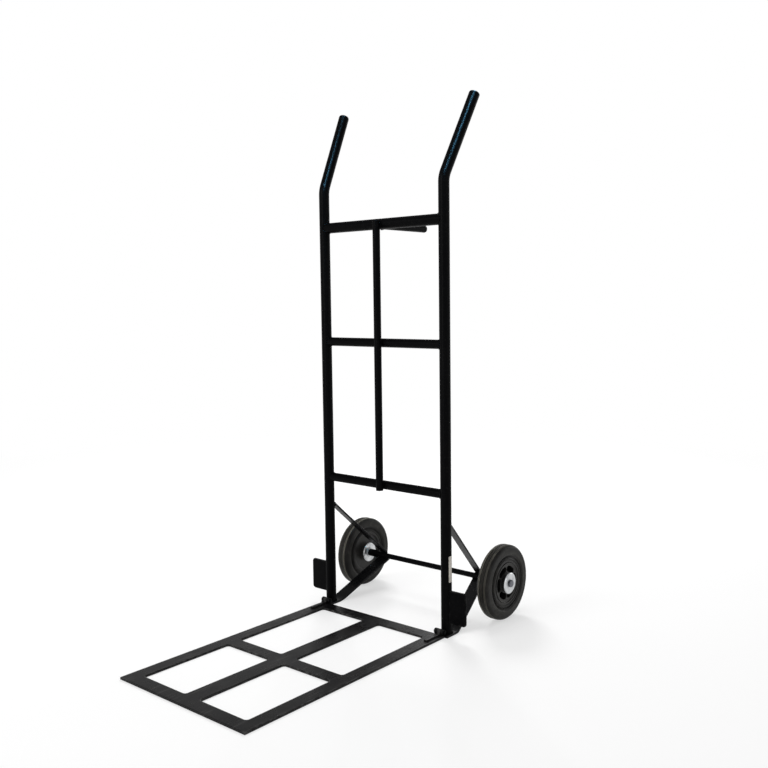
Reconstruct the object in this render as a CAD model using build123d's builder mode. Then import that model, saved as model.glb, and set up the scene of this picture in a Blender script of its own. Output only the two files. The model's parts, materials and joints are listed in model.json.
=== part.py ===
from build123d import *

import os
from math import asin, atan2, cos, hypot, isclose, radians, sin, tan

# Folding hand truck. Millimetres, +Z up, +X to the right as seen from the front.
# The toe frame lies towards -Y and the wheels towards +Y.
# The origin is on the floor, in the middle of the truck's width and depth.

# Main frame
upright_spacing = 414.0
upright_od = 28.6
upright_wall = 2.0
crossbar_height = 1072.0
crossbar_od = 28.6
crossbar_wall = 2.0

# Handles
bend_height = 1177.0
bend_radius = 62.0
handle_length = 240.0
handle_lean = 27.0
handle_flare = 10.0
plug_flange = 3.0
plug_stem = 16.0
plug_rim_step = 0.3
plug_edge = 1.6

# Lower crossbars, centre tube and rest peg
rung_od = 24.0
rung_wall = 1.8
upper_rung_height = 757.0
lower_rung_height = 371.0
centre_tube_od = 20.0
centre_tube_wall = 1.6
centre_tube_offset = 20.0
centre_tube_top = 7.0
peg_od = 20.0
peg_wall = 1.6
peg_length = 186.0
peg_drop = 4.0

# Axle bracket
axle_setback = 194.0
axle_od = 15.0
lower_brace_width = 38.0
lower_brace_thickness = 6.0
foot_back = 27.0
foot_bend_radius = 50.0
upper_brace_width = 22.0
upper_brace_thickness = 5.0
upper_brace_height = 300.0
brace_splay = 35.0

# Wheel guards
guard_reach = 66.0
guard_low = 34.0
guard_height = 88.0
guard_thickness = 5.0
guard_ahead = 5.0
guard_corner = 9.0

# Toe frame
toe_reach = 701.0
toe_overhang = 11.0
toe_bar_width = 38.0
toe_centre_width = 50.0
toe_thickness = 6.0
window_length = 254.0
window_radius = 8.0

# Hinge of the toe frame
hinge_ahead = 24.0
eye_od = 15.0
eye_length = 9.4
eye_gap = 0.4
hinge_pin_od = 8.0
pin_head_od = 11.0
pin_head_thickness = 2.5
strap_length = 62.0
strap_thickness = 4.0

# Wheels
tyre_od = 204.0
tyre_width = 36.0
tyre_bore = 122.0
tyre_shoulder = 15.0
groove_count = 3
groove_width = 2.6
groove_depth = 2.6
groove_pitch = 7.6
panel_depth = 2.0
panel_inner_radius = 68.0
panel_outer_radius = 84.0
wheel_offset = 45.5
rim_width = 32.0
rim_band = 6.0
rim_web = 20.0
rim_web_offset = -0.5
rim_hub_od = 40.0
rim_root_radius = 3.0
spoke_count = 6
opening_band = 17.0
opening_angle = 30.0
opening_floor = 3.0
bush_od = 24.0
hub_length = 46.8
disc_od = 57.0
disc_thickness = 3.0
disc_bevel = 1.4

# Wheel fasteners
washer_od = 28.0
washer_thickness = 2.0
spacer_od = 21.3
cap_od = 20.0
cap_length = 5.0
cap_face = 1.5
cap_edge = 1.4

# Clearances
weld_gap = 0.3
running_clearance = 0.05
seat_clearance = 0.1
side_clearance = 0.2
stop_gap = 0.1
eye_lift = 0.3

# Places that follow from the sizes above
tyre_radius = tyre_od / 2
upright_radius = upright_od / 2
upright_x = upright_spacing / 2
upright_y = (toe_reach - axle_setback - tyre_radius) / 2
axle_y = upright_y + axle_setback
axle_z = tyre_radius
axle_radius = axle_od / 2
hinge_y = upright_y - hinge_ahead
hinge_z = toe_thickness + eye_lift + eye_od / 2
hinge_x = upright_x + (toe_overhang - lower_brace_width / 2) / 2
eye_pitch = eye_length + eye_gap
toe_front_y = upright_y - toe_reach
toe_rear_y = hinge_y - stop_gap
toe_half_width = upright_x + toe_overhang
toe_inner_x = toe_half_width - toe_bar_width
hub_half = hub_length / 2
disc_inside = hub_half + seat_clearance
disc_outside = disc_inside + disc_thickness
wheel_x = upright_x + wheel_offset
washer_in_x = wheel_x - disc_outside - side_clearance - washer_thickness
cap_inside = disc_outside + side_clearance
axle_end_x = wheel_x + cap_inside + cap_length - cap_face - seat_clearance
brace_end_y = axle_y + axle_radius
foot_bend_y = upright_y + foot_back
spacer_run = (axle_y - spacer_od / 2 - foot_bend_y) / (brace_end_y - foot_bend_y)
spacer_low_x = upright_x - brace_splay * spacer_run + lower_brace_width / 2 + side_clearance
sides = ((-1, "left"), (1, "right"))


def write(piece, node):
    """Label a finished piece and write it as its own file."""
    piece.part.label = node
    export_step(piece.part, f"parts/{node}.step")


def across(x, y, z):
    """Plane square to X at a point, with Y to the right and Z up."""
    return Plane(origin=(x, y, z), x_dir=(0, 1, 0), z_dir=(1, 0, 0))


def wheel_section(side):
    """Plane through a wheel's axis: first axis outwards, second axis up."""
    centre = (side * wheel_x, axle_y, axle_z)
    return Plane(origin=centre, x_dir=(side, 0, 0), z_dir=(0, -side, 0))


def wheel_axis(side):
    """Axis that a wheel turns on."""
    return Axis((side * wheel_x, axle_y, axle_z), (side, 0, 0))


def ring(outer, inner):
    """Round section of a tube."""
    Circle(outer)
    Circle(inner, mode=Mode.SUBTRACT)


os.makedirs("parts", exist_ok=True)

# Uprights, each bent back and a little outwards into a handle, and their end plugs
flare = radians(handle_flare)
lean = radians(handle_lean)
handle_tip = (handle_length * sin(lean), bend_height + handle_length * cos(lean))
for side, hand in sides:
    bend_plane = Plane(
        origin=(side * upright_x, upright_y, 0),
        x_dir=(side * sin(flare), cos(flare), 0),
        z_dir=(cos(flare), -side * sin(flare), 0),
    )
    with BuildPart() as upright:
        with BuildLine(bend_plane) as spine:
            FilletPolyline((0, lower_brace_thickness), (0, bend_height), handle_tip, radius=bend_radius)
        with BuildSketch(Plane(origin=spine.line @ 0, z_dir=spine.line % 0)):
            ring(upright_radius, upright_radius - upright_wall)
        sweep()
    write(upright, f"upright_{hand}")

    tip_plane = Plane(origin=spine.line @ 1, z_dir=spine.line % 1)
    with BuildPart() as handle_plug:
        with BuildSketch(tip_plane):
            Circle(upright_radius - plug_rim_step)
        extrude(amount=plug_flange)
        tip_axis = Axis(tip_plane.origin, tip_plane.z_dir)
        chamfer(handle_plug.faces().sort_by(tip_axis)[-1].edges(), plug_edge)
        with BuildSketch(tip_plane):
            Circle(upright_radius - upright_wall - seat_clearance)
        extrude(amount=-plug_stem)
    write(handle_plug, f"handle_plug_{hand}")

# Crossbars, coped to sit against the uprights
crossbars = (
    ("top_crossbar", crossbar_height, crossbar_od, crossbar_wall),
    ("upper_crossbar", upper_rung_height, rung_od, rung_wall),
    ("lower_crossbar", lower_rung_height, rung_od, rung_wall),
)
for node, height, od, wall in crossbars:
    with BuildPart() as crossbar:
        with BuildSketch(across(-upright_x, upright_y, height)):
            ring(od / 2, od / 2 - wall)
        extrude(amount=upright_spacing)
        with Locations((-upright_x, upright_y, height), (upright_x, upright_y, height)):
            Cylinder(upright_radius + weld_gap, 2 * od, mode=Mode.SUBTRACT)
    write(crossbar, node)

# Centre tube, saddled on the front of the three crossbars
centre_low = lower_rung_height - rung_od / 2
centre_high = crossbar_height + centre_tube_top
with BuildPart() as centre_tube:
    with BuildSketch(Plane((0, upright_y - centre_tube_offset, centre_low))):
        ring(centre_tube_od / 2, centre_tube_od / 2 - centre_tube_wall)
    extrude(amount=centre_high - centre_low)
    for _, height, od, _ in crossbars:
        with BuildSketch(across(-centre_tube_od, upright_y, height)):
            Circle(od / 2 + weld_gap)
        extrude(amount=2 * centre_tube_od, mode=Mode.SUBTRACT)
write(centre_tube, "centre_tube")

# Rest peg behind the top crossbar, and its plug
peg_root = Plane(origin=(0, upright_y, crossbar_height - peg_drop), z_dir=(0, 1, 0))
with BuildPart() as rest_peg:
    with BuildSketch(peg_root):
        ring(peg_od / 2, peg_od / 2 - peg_wall)
    extrude(amount=peg_length)
    with BuildSketch(across(-peg_od, upright_y, crossbar_height)):
        Circle(crossbar_od / 2 + weld_gap)
    extrude(amount=2 * peg_od, mode=Mode.SUBTRACT)
write(rest_peg, "rest_peg")

with BuildPart() as peg_plug:
    with BuildSketch(peg_root.offset(peg_length)):
        Circle(peg_od / 2 - plug_rim_step)
    extrude(amount=plug_flange)
    chamfer(peg_plug.faces().sort_by(Axis.Y)[-1].edges(), plug_edge)
    with BuildSketch(peg_root.offset(peg_length)):
        Circle(peg_od / 2 - peg_wall - seat_clearance)
    extrude(amount=-plug_stem)
write(peg_plug, "peg_plug")

# Flat-bar braces: the lower one runs under the axle and ends in a foot below the upright,
# the upper one runs over the axle. Each is bent in side view and splayed in plan.
axle_seat = axle_radius + weld_gap
lower_mid = axle_seat + lower_brace_thickness / 2
lower_rise = axle_z - lower_brace_thickness / 2
lower_run = axle_y - foot_bend_y
lower_slope = atan2(lower_rise, lower_run) - asin(lower_mid / hypot(lower_rise, lower_run))
upper_mid = axle_seat + upper_brace_thickness / 2
upper_drop = upper_brace_height - axle_z
upper_slope = atan2(upper_drop, axle_setback) - asin(upper_mid / hypot(upper_drop, axle_setback))
past_end = 2 * axle_od
for side, hand in sides:
    root_x = side * upright_x
    tail_x = side * (upright_x - brace_splay)
    with BuildPart() as lower_brace:
        with BuildSketch(Plane.YZ):
            with BuildLine():
                slope_run = lower_run + past_end
                FilletPolyline(
                    (hinge_y, lower_brace_thickness / 2),
                    (foot_bend_y, lower_brace_thickness / 2),
                    (foot_bend_y + slope_run, lower_brace_thickness / 2 + slope_run * tan(lower_slope)),
                    radius=foot_bend_radius,
                )
            trace(line_width=lower_brace_thickness)
        extrude(amount=upright_spacing, both=True)
        with BuildSketch():
            with BuildLine():
                half = lower_brace_width / 2
                Polyline(
                    (root_x - half, hinge_y),
                    (root_x + half, hinge_y),
                    (root_x + half, foot_bend_y),
                    (tail_x + half, brace_end_y),
                    (tail_x - half, brace_end_y),
                    (root_x - half, foot_bend_y),
                    close=True,
                )
            make_face()
        extrude(amount=tyre_od, mode=Mode.INTERSECT)
    write(lower_brace, f"lower_brace_{hand}")

    with BuildPart() as upper_brace:
        with BuildSketch(Plane.YZ):
            with BuildLine():
                slope_run = axle_setback + past_end
                Line(
                    (upright_y, upper_brace_height),
                    (upright_y + slope_run, upper_brace_height - slope_run * tan(upper_slope)),
                )
            trace(line_width=upper_brace_thickness)
        extrude(amount=upright_spacing, both=True)
        with BuildSketch():
            with BuildLine():
                half = upper_brace_width / 2
                Polyline(
                    (root_x - half, upright_y - upright_od),
                    (root_x + half, upright_y - upright_od),
                    (root_x + half, upright_y),
                    (tail_x + half, brace_end_y),
                    (tail_x - half, brace_end_y),
                    (root_x - half, upright_y),
                    close=True,
                )
            make_face()
        extrude(amount=2 * upper_brace_height, mode=Mode.INTERSECT)
        with Locations((root_x, upright_y, upper_brace_height)):
            Cylinder(upright_radius + weld_gap, upper_brace_height, mode=Mode.SUBTRACT)
    write(upper_brace, f"upper_brace_{hand}")

# Wheel guards, plates welded to the outer side of the uprights
guard_back_y = upright_y - guard_ahead + guard_thickness / 2
for side, hand in sides:
    with BuildPart() as wheel_guard:
        with BuildSketch(Plane.XZ.offset(-guard_back_y)) as plate:
            with Locations((side * (upright_x + guard_reach / 2), guard_low + guard_height / 2)):
                Rectangle(guard_reach, guard_height)
            outer_corners = plate.vertices().filter_by(
                lambda corner: abs(corner.X) > upright_x + upright_radius
            )
            fillet(outer_corners, guard_corner)
        extrude(amount=guard_thickness)
        with Locations((side * upright_x, upright_y, guard_low + guard_height / 2)):
            Cylinder(upright_radius + weld_gap, 2 * guard_height, mode=Mode.SUBTRACT)
    write(wheel_guard, f"wheel_guard_{hand}")

# Toe frame: flat bars butted edge to edge, with small round fillets in the window corners
window_width = toe_inner_x - toe_centre_width / 2
window_x = (toe_inner_x + toe_centre_width / 2) / 2
front_bay_low = toe_front_y + toe_bar_width
front_bay_high = front_bay_low + window_length
rear_bay_low = front_bay_high + toe_bar_width
rear_bay_high = toe_rear_y - toe_bar_width
toe_bays = ((front_bay_low, front_bay_high), (rear_bay_low, rear_bay_high))
toe_bars = (
    ("toe_side_bar_left", -toe_half_width, -toe_inner_x, toe_front_y, toe_rear_y),
    ("toe_side_bar_right", toe_inner_x, toe_half_width, toe_front_y, toe_rear_y),
    ("toe_front_bar", -toe_inner_x, toe_inner_x, toe_front_y, front_bay_low + window_radius),
    ("toe_mid_bar", -toe_inner_x, toe_inner_x, front_bay_high - window_radius, rear_bay_low + window_radius),
    ("toe_rear_bar", -toe_inner_x, toe_inner_x, rear_bay_high - window_radius, toe_rear_y),
    (
        "toe_centre_bar_front",
        -toe_centre_width / 2,
        toe_centre_width / 2,
        front_bay_low + window_radius,
        front_bay_high - window_radius,
    ),
    (
        "toe_centre_bar_rear",
        -toe_centre_width / 2,
        toe_centre_width / 2,
        rear_bay_low + window_radius,
        rear_bay_high - window_radius,
    ),
)
for node, x_low, x_high, y_low, y_high in toe_bars:
    with BuildPart() as toe_bar:
        with BuildSketch():
            with Locations(((x_low + x_high) / 2, (y_low + y_high) / 2)):
                Rectangle(x_high - x_low, y_high - y_low)
            for bay_low, bay_high in toe_bays:
                with Locations((-window_x, (bay_low + bay_high) / 2), (window_x, (bay_low + bay_high) / 2)):
                    RectangleRounded(window_width, bay_high - bay_low, window_radius, mode=Mode.SUBTRACT)
        extrude(amount=toe_thickness)
    write(toe_bar, node)

# Hinge: two fixed eyes on each foot, one eye with a strap on each toe side bar, and a pin
eye_radius = eye_od / 2
eye_bore = hinge_pin_od / 2 + running_clearance
barrel_length = 3 * eye_length + 2 * eye_gap
for side, hand in sides:
    barrel_x = side * hinge_x
    with BuildPart() as hinge_knuckles:
        for eye_x in (barrel_x - eye_pitch, barrel_x + eye_pitch):
            with BuildSketch(across(eye_x - eye_length / 2, hinge_y, hinge_z)):
                Circle(eye_radius)
                Rectangle(eye_radius, hinge_z - lower_brace_thickness, align=(Align.MIN, Align.MAX))
                Circle(eye_bore, mode=Mode.SUBTRACT)
            extrude(amount=eye_length)
    write(hinge_knuckles, f"hinge_knuckles_{hand}")

    with BuildPart() as toe_hinge_eye:
        with BuildSketch(across(barrel_x - eye_length / 2, hinge_y, hinge_z)):
            Circle(eye_radius)
            with Locations((-stop_gap, 0)):
                Rectangle(eye_radius, hinge_z - toe_thickness, align=(Align.MAX, Align.MAX))
            with Locations((-stop_gap, toe_thickness - hinge_z)):
                Rectangle(strap_length, strap_thickness, align=(Align.MAX, Align.MIN))
            Circle(eye_bore, mode=Mode.SUBTRACT)
        extrude(amount=eye_length)
    write(toe_hinge_eye, f"toe_hinge_eye_{hand}")

    pin_half = barrel_length / 2 + side_clearance
    with BuildPart() as hinge_pin:
        with BuildSketch(across(barrel_x - pin_half, hinge_y, hinge_z)):
            Circle(hinge_pin_od / 2)
        extrude(amount=2 * pin_half)
        for head_x in (barrel_x - pin_half - pin_head_thickness, barrel_x + pin_half):
            with BuildSketch(across(head_x, hinge_y, hinge_z)):
                Circle(pin_head_od / 2)
            extrude(amount=pin_head_thickness)
    write(hinge_pin, f"hinge_pin_{hand}")

# Axle
with BuildPart() as axle:
    with BuildSketch(across(-axle_end_x, axle_y, axle_z)):
        Circle(axle_radius)
    extrude(amount=2 * axle_end_x)
write(axle, "axle")

# Sleeves between the lower braces and the inner washers
for side, hand in sides:
    low_x = min(side * spacer_low_x, side * (washer_in_x - seat_clearance))
    with BuildPart() as axle_spacer:
        with BuildSketch(across(low_x, axle_y, axle_z)):
            ring(spacer_od / 2, axle_radius + seat_clearance)
        extrude(amount=washer_in_x - seat_clearance - spacer_low_x)
    write(axle_spacer, f"axle_spacer_{hand}")

# Washers beside the inner hub discs, one node for the pair
with BuildPart() as inner_washers:
    for low_x in (washer_in_x, -washer_in_x - washer_thickness):
        with BuildSketch(across(low_x, axle_y, axle_z)):
            ring(washer_od / 2, axle_radius + seat_clearance)
        extrude(amount=washer_thickness)
write(inner_washers, "inner_washers")

# Push-on caps that close the axle's ends and keep the wheels on, one node for the pair
with BuildPart() as axle_caps:
    for side, _ in sides:
        with BuildSketch(wheel_section(side)) as section:
            with Locations((cap_inside, 0)):
                Rectangle(cap_length, cap_od / 2, align=(Align.MIN, Align.MIN))
            fillet(section.vertices().group_by(Axis.Y)[-1].sort_by(Axis.X)[-1], cap_edge)
            with Locations((cap_inside, 0)):
                Rectangle(
                    cap_length - cap_face,
                    axle_radius + seat_clearance,
                    align=(Align.MIN, Align.MIN),
                    mode=Mode.SUBTRACT,
                )
        revolve(axis=wheel_axis(side))
write(axle_caps, "axle_caps")

# Wheels: ribbed solid tyre, spoked centre, plain bush and two plated hub discs
bore_radius = tyre_bore / 2
rim_radius = bore_radius - seat_clearance
web_reach = rim_radius - rim_band / 2
opening_radius = (rim_radius - rim_band + rim_hub_od / 2) / 2
for side, hand in sides:
    with BuildPart() as tyre:
        with BuildSketch(wheel_section(side)) as section:
            with Locations((0, bore_radius)):
                Rectangle(tyre_width, tyre_radius - bore_radius, align=(Align.CENTER, Align.MIN))
            fillet(section.vertices().group_by(Axis.Y)[-1], tyre_shoulder)
            with Locations((0, tyre_radius)):
                with GridLocations(groove_pitch, 1, groove_count, 1):
                    Rectangle(groove_width, 2 * groove_depth, mode=Mode.SUBTRACT)
            with Locations((-tyre_width / 2, panel_inner_radius), (tyre_width / 2, panel_inner_radius)):
                Rectangle(
                    2 * panel_depth,
                    panel_outer_radius - panel_inner_radius,
                    align=(Align.CENTER, Align.MIN),
                    mode=Mode.SUBTRACT,
                )
        revolve(axis=wheel_axis(side))
    write(tyre, f"tyre_{hand}")

    with BuildPart() as rim:
        with BuildSketch(wheel_section(side)) as section:
            with Locations((0, rim_radius)):
                Rectangle(rim_width, rim_band, align=(Align.CENTER, Align.MAX))
            with Locations((rim_web_offset, bush_od / 2 + seat_clearance)):
                Rectangle(rim_web, web_reach - bush_od / 2, align=(Align.CENTER, Align.MIN))
            with Locations((0, bush_od / 2 + seat_clearance)):
                Rectangle(hub_length, (rim_hub_od - bush_od) / 2, align=(Align.CENTER, Align.MIN))
            web_roots = section.vertices().filter_by(
                lambda corner: isclose(abs(corner.X - rim_web_offset), rim_web / 2)
            )
            fillet(web_roots, rim_root_radius)
        revolve(axis=wheel_axis(side))
        pocket_x = wheel_x + rim_web_offset - rim_web / 2 + opening_floor
        with BuildSketch(across(side * pocket_x, axle_y, axle_z)):
            for spoke in range(spoke_count):
                middle = 360 * spoke / spoke_count
                with BuildLine(mode=Mode.PRIVATE) as opening_arc:
                    CenterArc((0, 0), opening_radius, middle - opening_angle / 2, opening_angle)
                SlotArc(opening_arc.line.edge(), opening_band)
        extrude(amount=side * rim_web, mode=Mode.SUBTRACT)
    write(rim, f"rim_{hand}")

    with BuildPart() as hub_bush:
        with BuildSketch(wheel_section(side)):
            with Locations((0, axle_radius + running_clearance)):
                bush_wall = bush_od / 2 - axle_radius - running_clearance
                Rectangle(hub_length, bush_wall, align=(Align.CENTER, Align.MIN))
        revolve(axis=wheel_axis(side))
    write(hub_bush, f"hub_bush_{hand}")

    with BuildPart() as hub_discs:
        for face in (-1, 1):
            with BuildSketch(wheel_section(side)):
                with BuildLine():
                    Polyline(
                        (face * disc_inside, axle_radius + weld_gap),
                        (face * disc_outside, axle_radius + weld_gap),
                        (face * disc_outside, disc_od / 2 - disc_thickness),
                        (face * (disc_inside + disc_bevel), disc_od / 2),
                        (face * disc_inside, disc_od / 2),
                        close=True,
                    )
                make_face()
            revolve(axis=wheel_axis(side))
    write(hub_discs, f"hub_discs_{hand}")
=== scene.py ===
"""Looks of a folding hand truck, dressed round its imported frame.

Pieces are in metres, in the frame of the solids: +Z up, +X to the right as seen from the front and
+Y towards the wheels. A finished object sits at the origin, with its place in its mesh.
"""

import json
import logging
import math
from collections.abc import Callable, Sequence
from dataclasses import dataclass
from enum import Enum

import bmesh
import bpy
import numpy as np
from mathutils import Matrix, Vector


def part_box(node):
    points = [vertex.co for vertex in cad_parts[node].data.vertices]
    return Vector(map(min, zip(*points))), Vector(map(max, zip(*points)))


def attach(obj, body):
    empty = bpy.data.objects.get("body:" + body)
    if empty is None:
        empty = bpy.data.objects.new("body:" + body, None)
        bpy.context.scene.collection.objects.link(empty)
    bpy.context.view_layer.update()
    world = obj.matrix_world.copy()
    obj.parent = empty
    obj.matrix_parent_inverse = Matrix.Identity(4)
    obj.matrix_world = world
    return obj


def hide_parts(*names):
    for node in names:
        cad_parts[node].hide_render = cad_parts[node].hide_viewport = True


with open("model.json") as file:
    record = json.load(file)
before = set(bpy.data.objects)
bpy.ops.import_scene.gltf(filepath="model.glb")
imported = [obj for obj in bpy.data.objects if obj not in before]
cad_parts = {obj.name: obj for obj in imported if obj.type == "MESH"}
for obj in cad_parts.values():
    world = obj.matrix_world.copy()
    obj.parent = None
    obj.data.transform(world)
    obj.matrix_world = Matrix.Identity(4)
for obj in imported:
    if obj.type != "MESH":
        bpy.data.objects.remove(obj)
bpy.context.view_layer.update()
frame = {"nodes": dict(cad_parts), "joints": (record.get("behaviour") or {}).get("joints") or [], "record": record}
LOG = logging.getLogger("hand_truck")

Pair = tuple[float, float]
Triple = tuple[float, float, float]
Shape = tuple[np.ndarray, list[list[int]]]
BMesh = bmesh.types.BMesh
Material = bpy.types.Material
Socket = bpy.types.NodeSocket
Tree = bpy.types.NodeTree

X, Y, Z = range(3)
QUARTER_TURN = math.pi / 2
MERGE_DISTANCE = 1e-6
SMOOTH_LIMIT = 38.0
COPE_SHARES = (0.02, 0.5, 0.8, 1.0)
WHITE = (1.0, 1.0, 1.0, 1.0)


class Hand(Enum):
    """Side of the truck as seen from the front, with the sign of its X."""

    LEFT = -1
    RIGHT = 1

    def piece(self, name: str) -> str:
        """Name of this side's piece."""
        return f"{self.name.lower()}_{name}"

    def node(self, name: str) -> str:
        """Name of this side's solid or body."""
        return f"{name}_{self.name.lower()}"


class Body(Enum):
    """Bodies that pieces ride on."""

    FRAME = "frame"
    TOE = "toe"
    WHEEL_LEFT = "wheel_left"
    WHEEL_RIGHT = "wheel_right"


class Slot(Enum):
    """Material slots of the record."""

    FRAME = "frame_paint"
    TOE = "toe_paint"
    TYRE = "tyre_rubber"
    WHEEL = "wheel_plastic"
    ZINC = "zinc"
    STEEL = "dark_steel"
    PLUG = "plug_plastic"
    LABEL = "label_film"


class TreeKind(Enum):
    """Kinds of node group that the script builds."""

    SHADER = "ShaderNodeTree"
    GEOMETRY = "GeometryNodeTree"


class SocketKind(Enum):
    """Kinds of socket on a group."""

    VALUE = "NodeSocketFloat"
    COUNT = "NodeSocketInt"
    GEOMETRY = "NodeSocketGeometry"
    MATERIAL = "NodeSocketMaterial"


def socket_title(name: str) -> str:
    """Title of a socket from the name of its value."""
    return name.replace("_", " ").title()


class Bench:
    """Lays the nodes of one tree and joins them."""

    def __init__(self, tree: Tree) -> None:
        """Start on a tree."""
        self.tree = tree

    @classmethod
    def cleared(cls, owner: Material | bpy.types.World) -> "Bench":
        """Start on an emptied tree.

        Args:
            owner: Material or world that has the tree.

        Returns:
            The bench.
        """
        owner.use_nodes = True
        owner.node_tree.nodes.clear()
        return cls(owner.node_tree)

    def feed(self, socket: Socket, value: object) -> None:
        """Join a socket to another one, or set its plain value.

        Args:
            socket: Input of a node.
            value: Output of a node, or a value.
        """
        if isinstance(value, Socket):
            self.tree.links.new(value, socket)
        else:
            socket.default_value = value

    def add(self, kind: str, inputs: dict | None = None, **settings: object) -> bpy.types.Node:
        """Add a node.

        Args:
            kind: Blender's name of the node.
            inputs: Values or sockets for its inputs, by name or index.
            settings: Properties of the node.

        Returns:
            The new node.
        """
        node = self.tree.nodes.new(kind)
        for name, value in settings.items():
            setattr(node, name, value)
        for name, value in (inputs or {}).items():
            self.feed(node.inputs[name], value)
        return node

    def place(self) -> Socket:
        """Object coordinates."""
        return self.add("ShaderNodeTexCoord").outputs["Object"]

    def math(self, operation: str, *values: object) -> Socket:
        """Result of a Math node on numbers or sockets."""
        return self.add("ShaderNodeMath", dict(enumerate(values)), operation=operation).outputs[0]

    def mix(self, share: Socket, first: object, second: object) -> Socket:
        """Mix two colours.

        Args:
            share: Share of the second colour.
            first: Socket or plain colour.
            second: Socket or plain colour.

        Returns:
            The mixed colour.
        """
        tones = [tone if isinstance(tone, Socket) else (*tone, 1.0) for tone in (first, second)]
        inputs = {0: share, 6: tones[0], 7: tones[1]}
        return self.add("ShaderNodeMix", inputs, data_type="RGBA").outputs[2]

    def ramp(self, value: Socket, low: object, high: object, ends: Pair = (0.0, 1.0)) -> Socket:
        """Map a value from low..high to the two ends, and hold it there."""
        inputs = {0: value, 1: low, 2: high, 3: ends[0], 4: ends[1]}
        return self.add("ShaderNodeMapRange", inputs).outputs[0]

    def noise(self, place: Socket, scale: object, detail: float, roughness: float = 0.5) -> Socket:
        """Noise from 0 to 1 at a scale in waves per metre."""
        inputs = {"Vector": place, "Scale": scale, "Detail": detail, "Roughness": roughness}
        return self.add("ShaderNodeTexNoise", inputs).outputs["Fac"]

    def bump(self, height: Socket, depth: float, strength: float) -> Socket:
        """Normal of a bump with a depth in metres."""
        inputs = {"Strength": strength, "Distance": depth, "Height": height}
        return self.add("ShaderNodeBump", inputs).outputs["Normal"]

    def group(self, tree: Tree, **values: object) -> Socket:
        """Output of a shader group, with its inputs by name."""
        inputs = {socket_title(key): value for key, value in values.items()}
        return self.add("ShaderNodeGroup", inputs, node_tree=tree).outputs[0]


class GroupBench(Bench):
    """Bench of a node group with named inputs and one named output."""

    def __init__(
        self, name: str, kind: TreeKind, output: tuple[str, SocketKind], inputs: dict[str, object]
    ) -> None:
        """Start a group.

        Args:
            name: Name of the group.
            kind: Shader or geometry.
            output: Title and kind of its output.
            inputs: First value of each input, or the kind of one that has none.
        """
        super().__init__(bpy.data.node_groups.new(name, kind.value))
        sockets = self.tree.interface
        for key, value in inputs.items():
            bare = isinstance(value, SocketKind)
            number = SocketKind.COUNT if isinstance(value, int) else SocketKind.VALUE
            sort = (value if bare else number).value
            socket = sockets.new_socket(socket_title(key), in_out="INPUT", socket_type=sort)
            if not bare:
                socket.default_value = value
        sockets.new_socket(output[0], in_out="OUTPUT", socket_type=output[1].value)
        self.given = self.add("NodeGroupInput").outputs
        self.result = self.add("NodeGroupOutput").inputs[output[0]]


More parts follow.
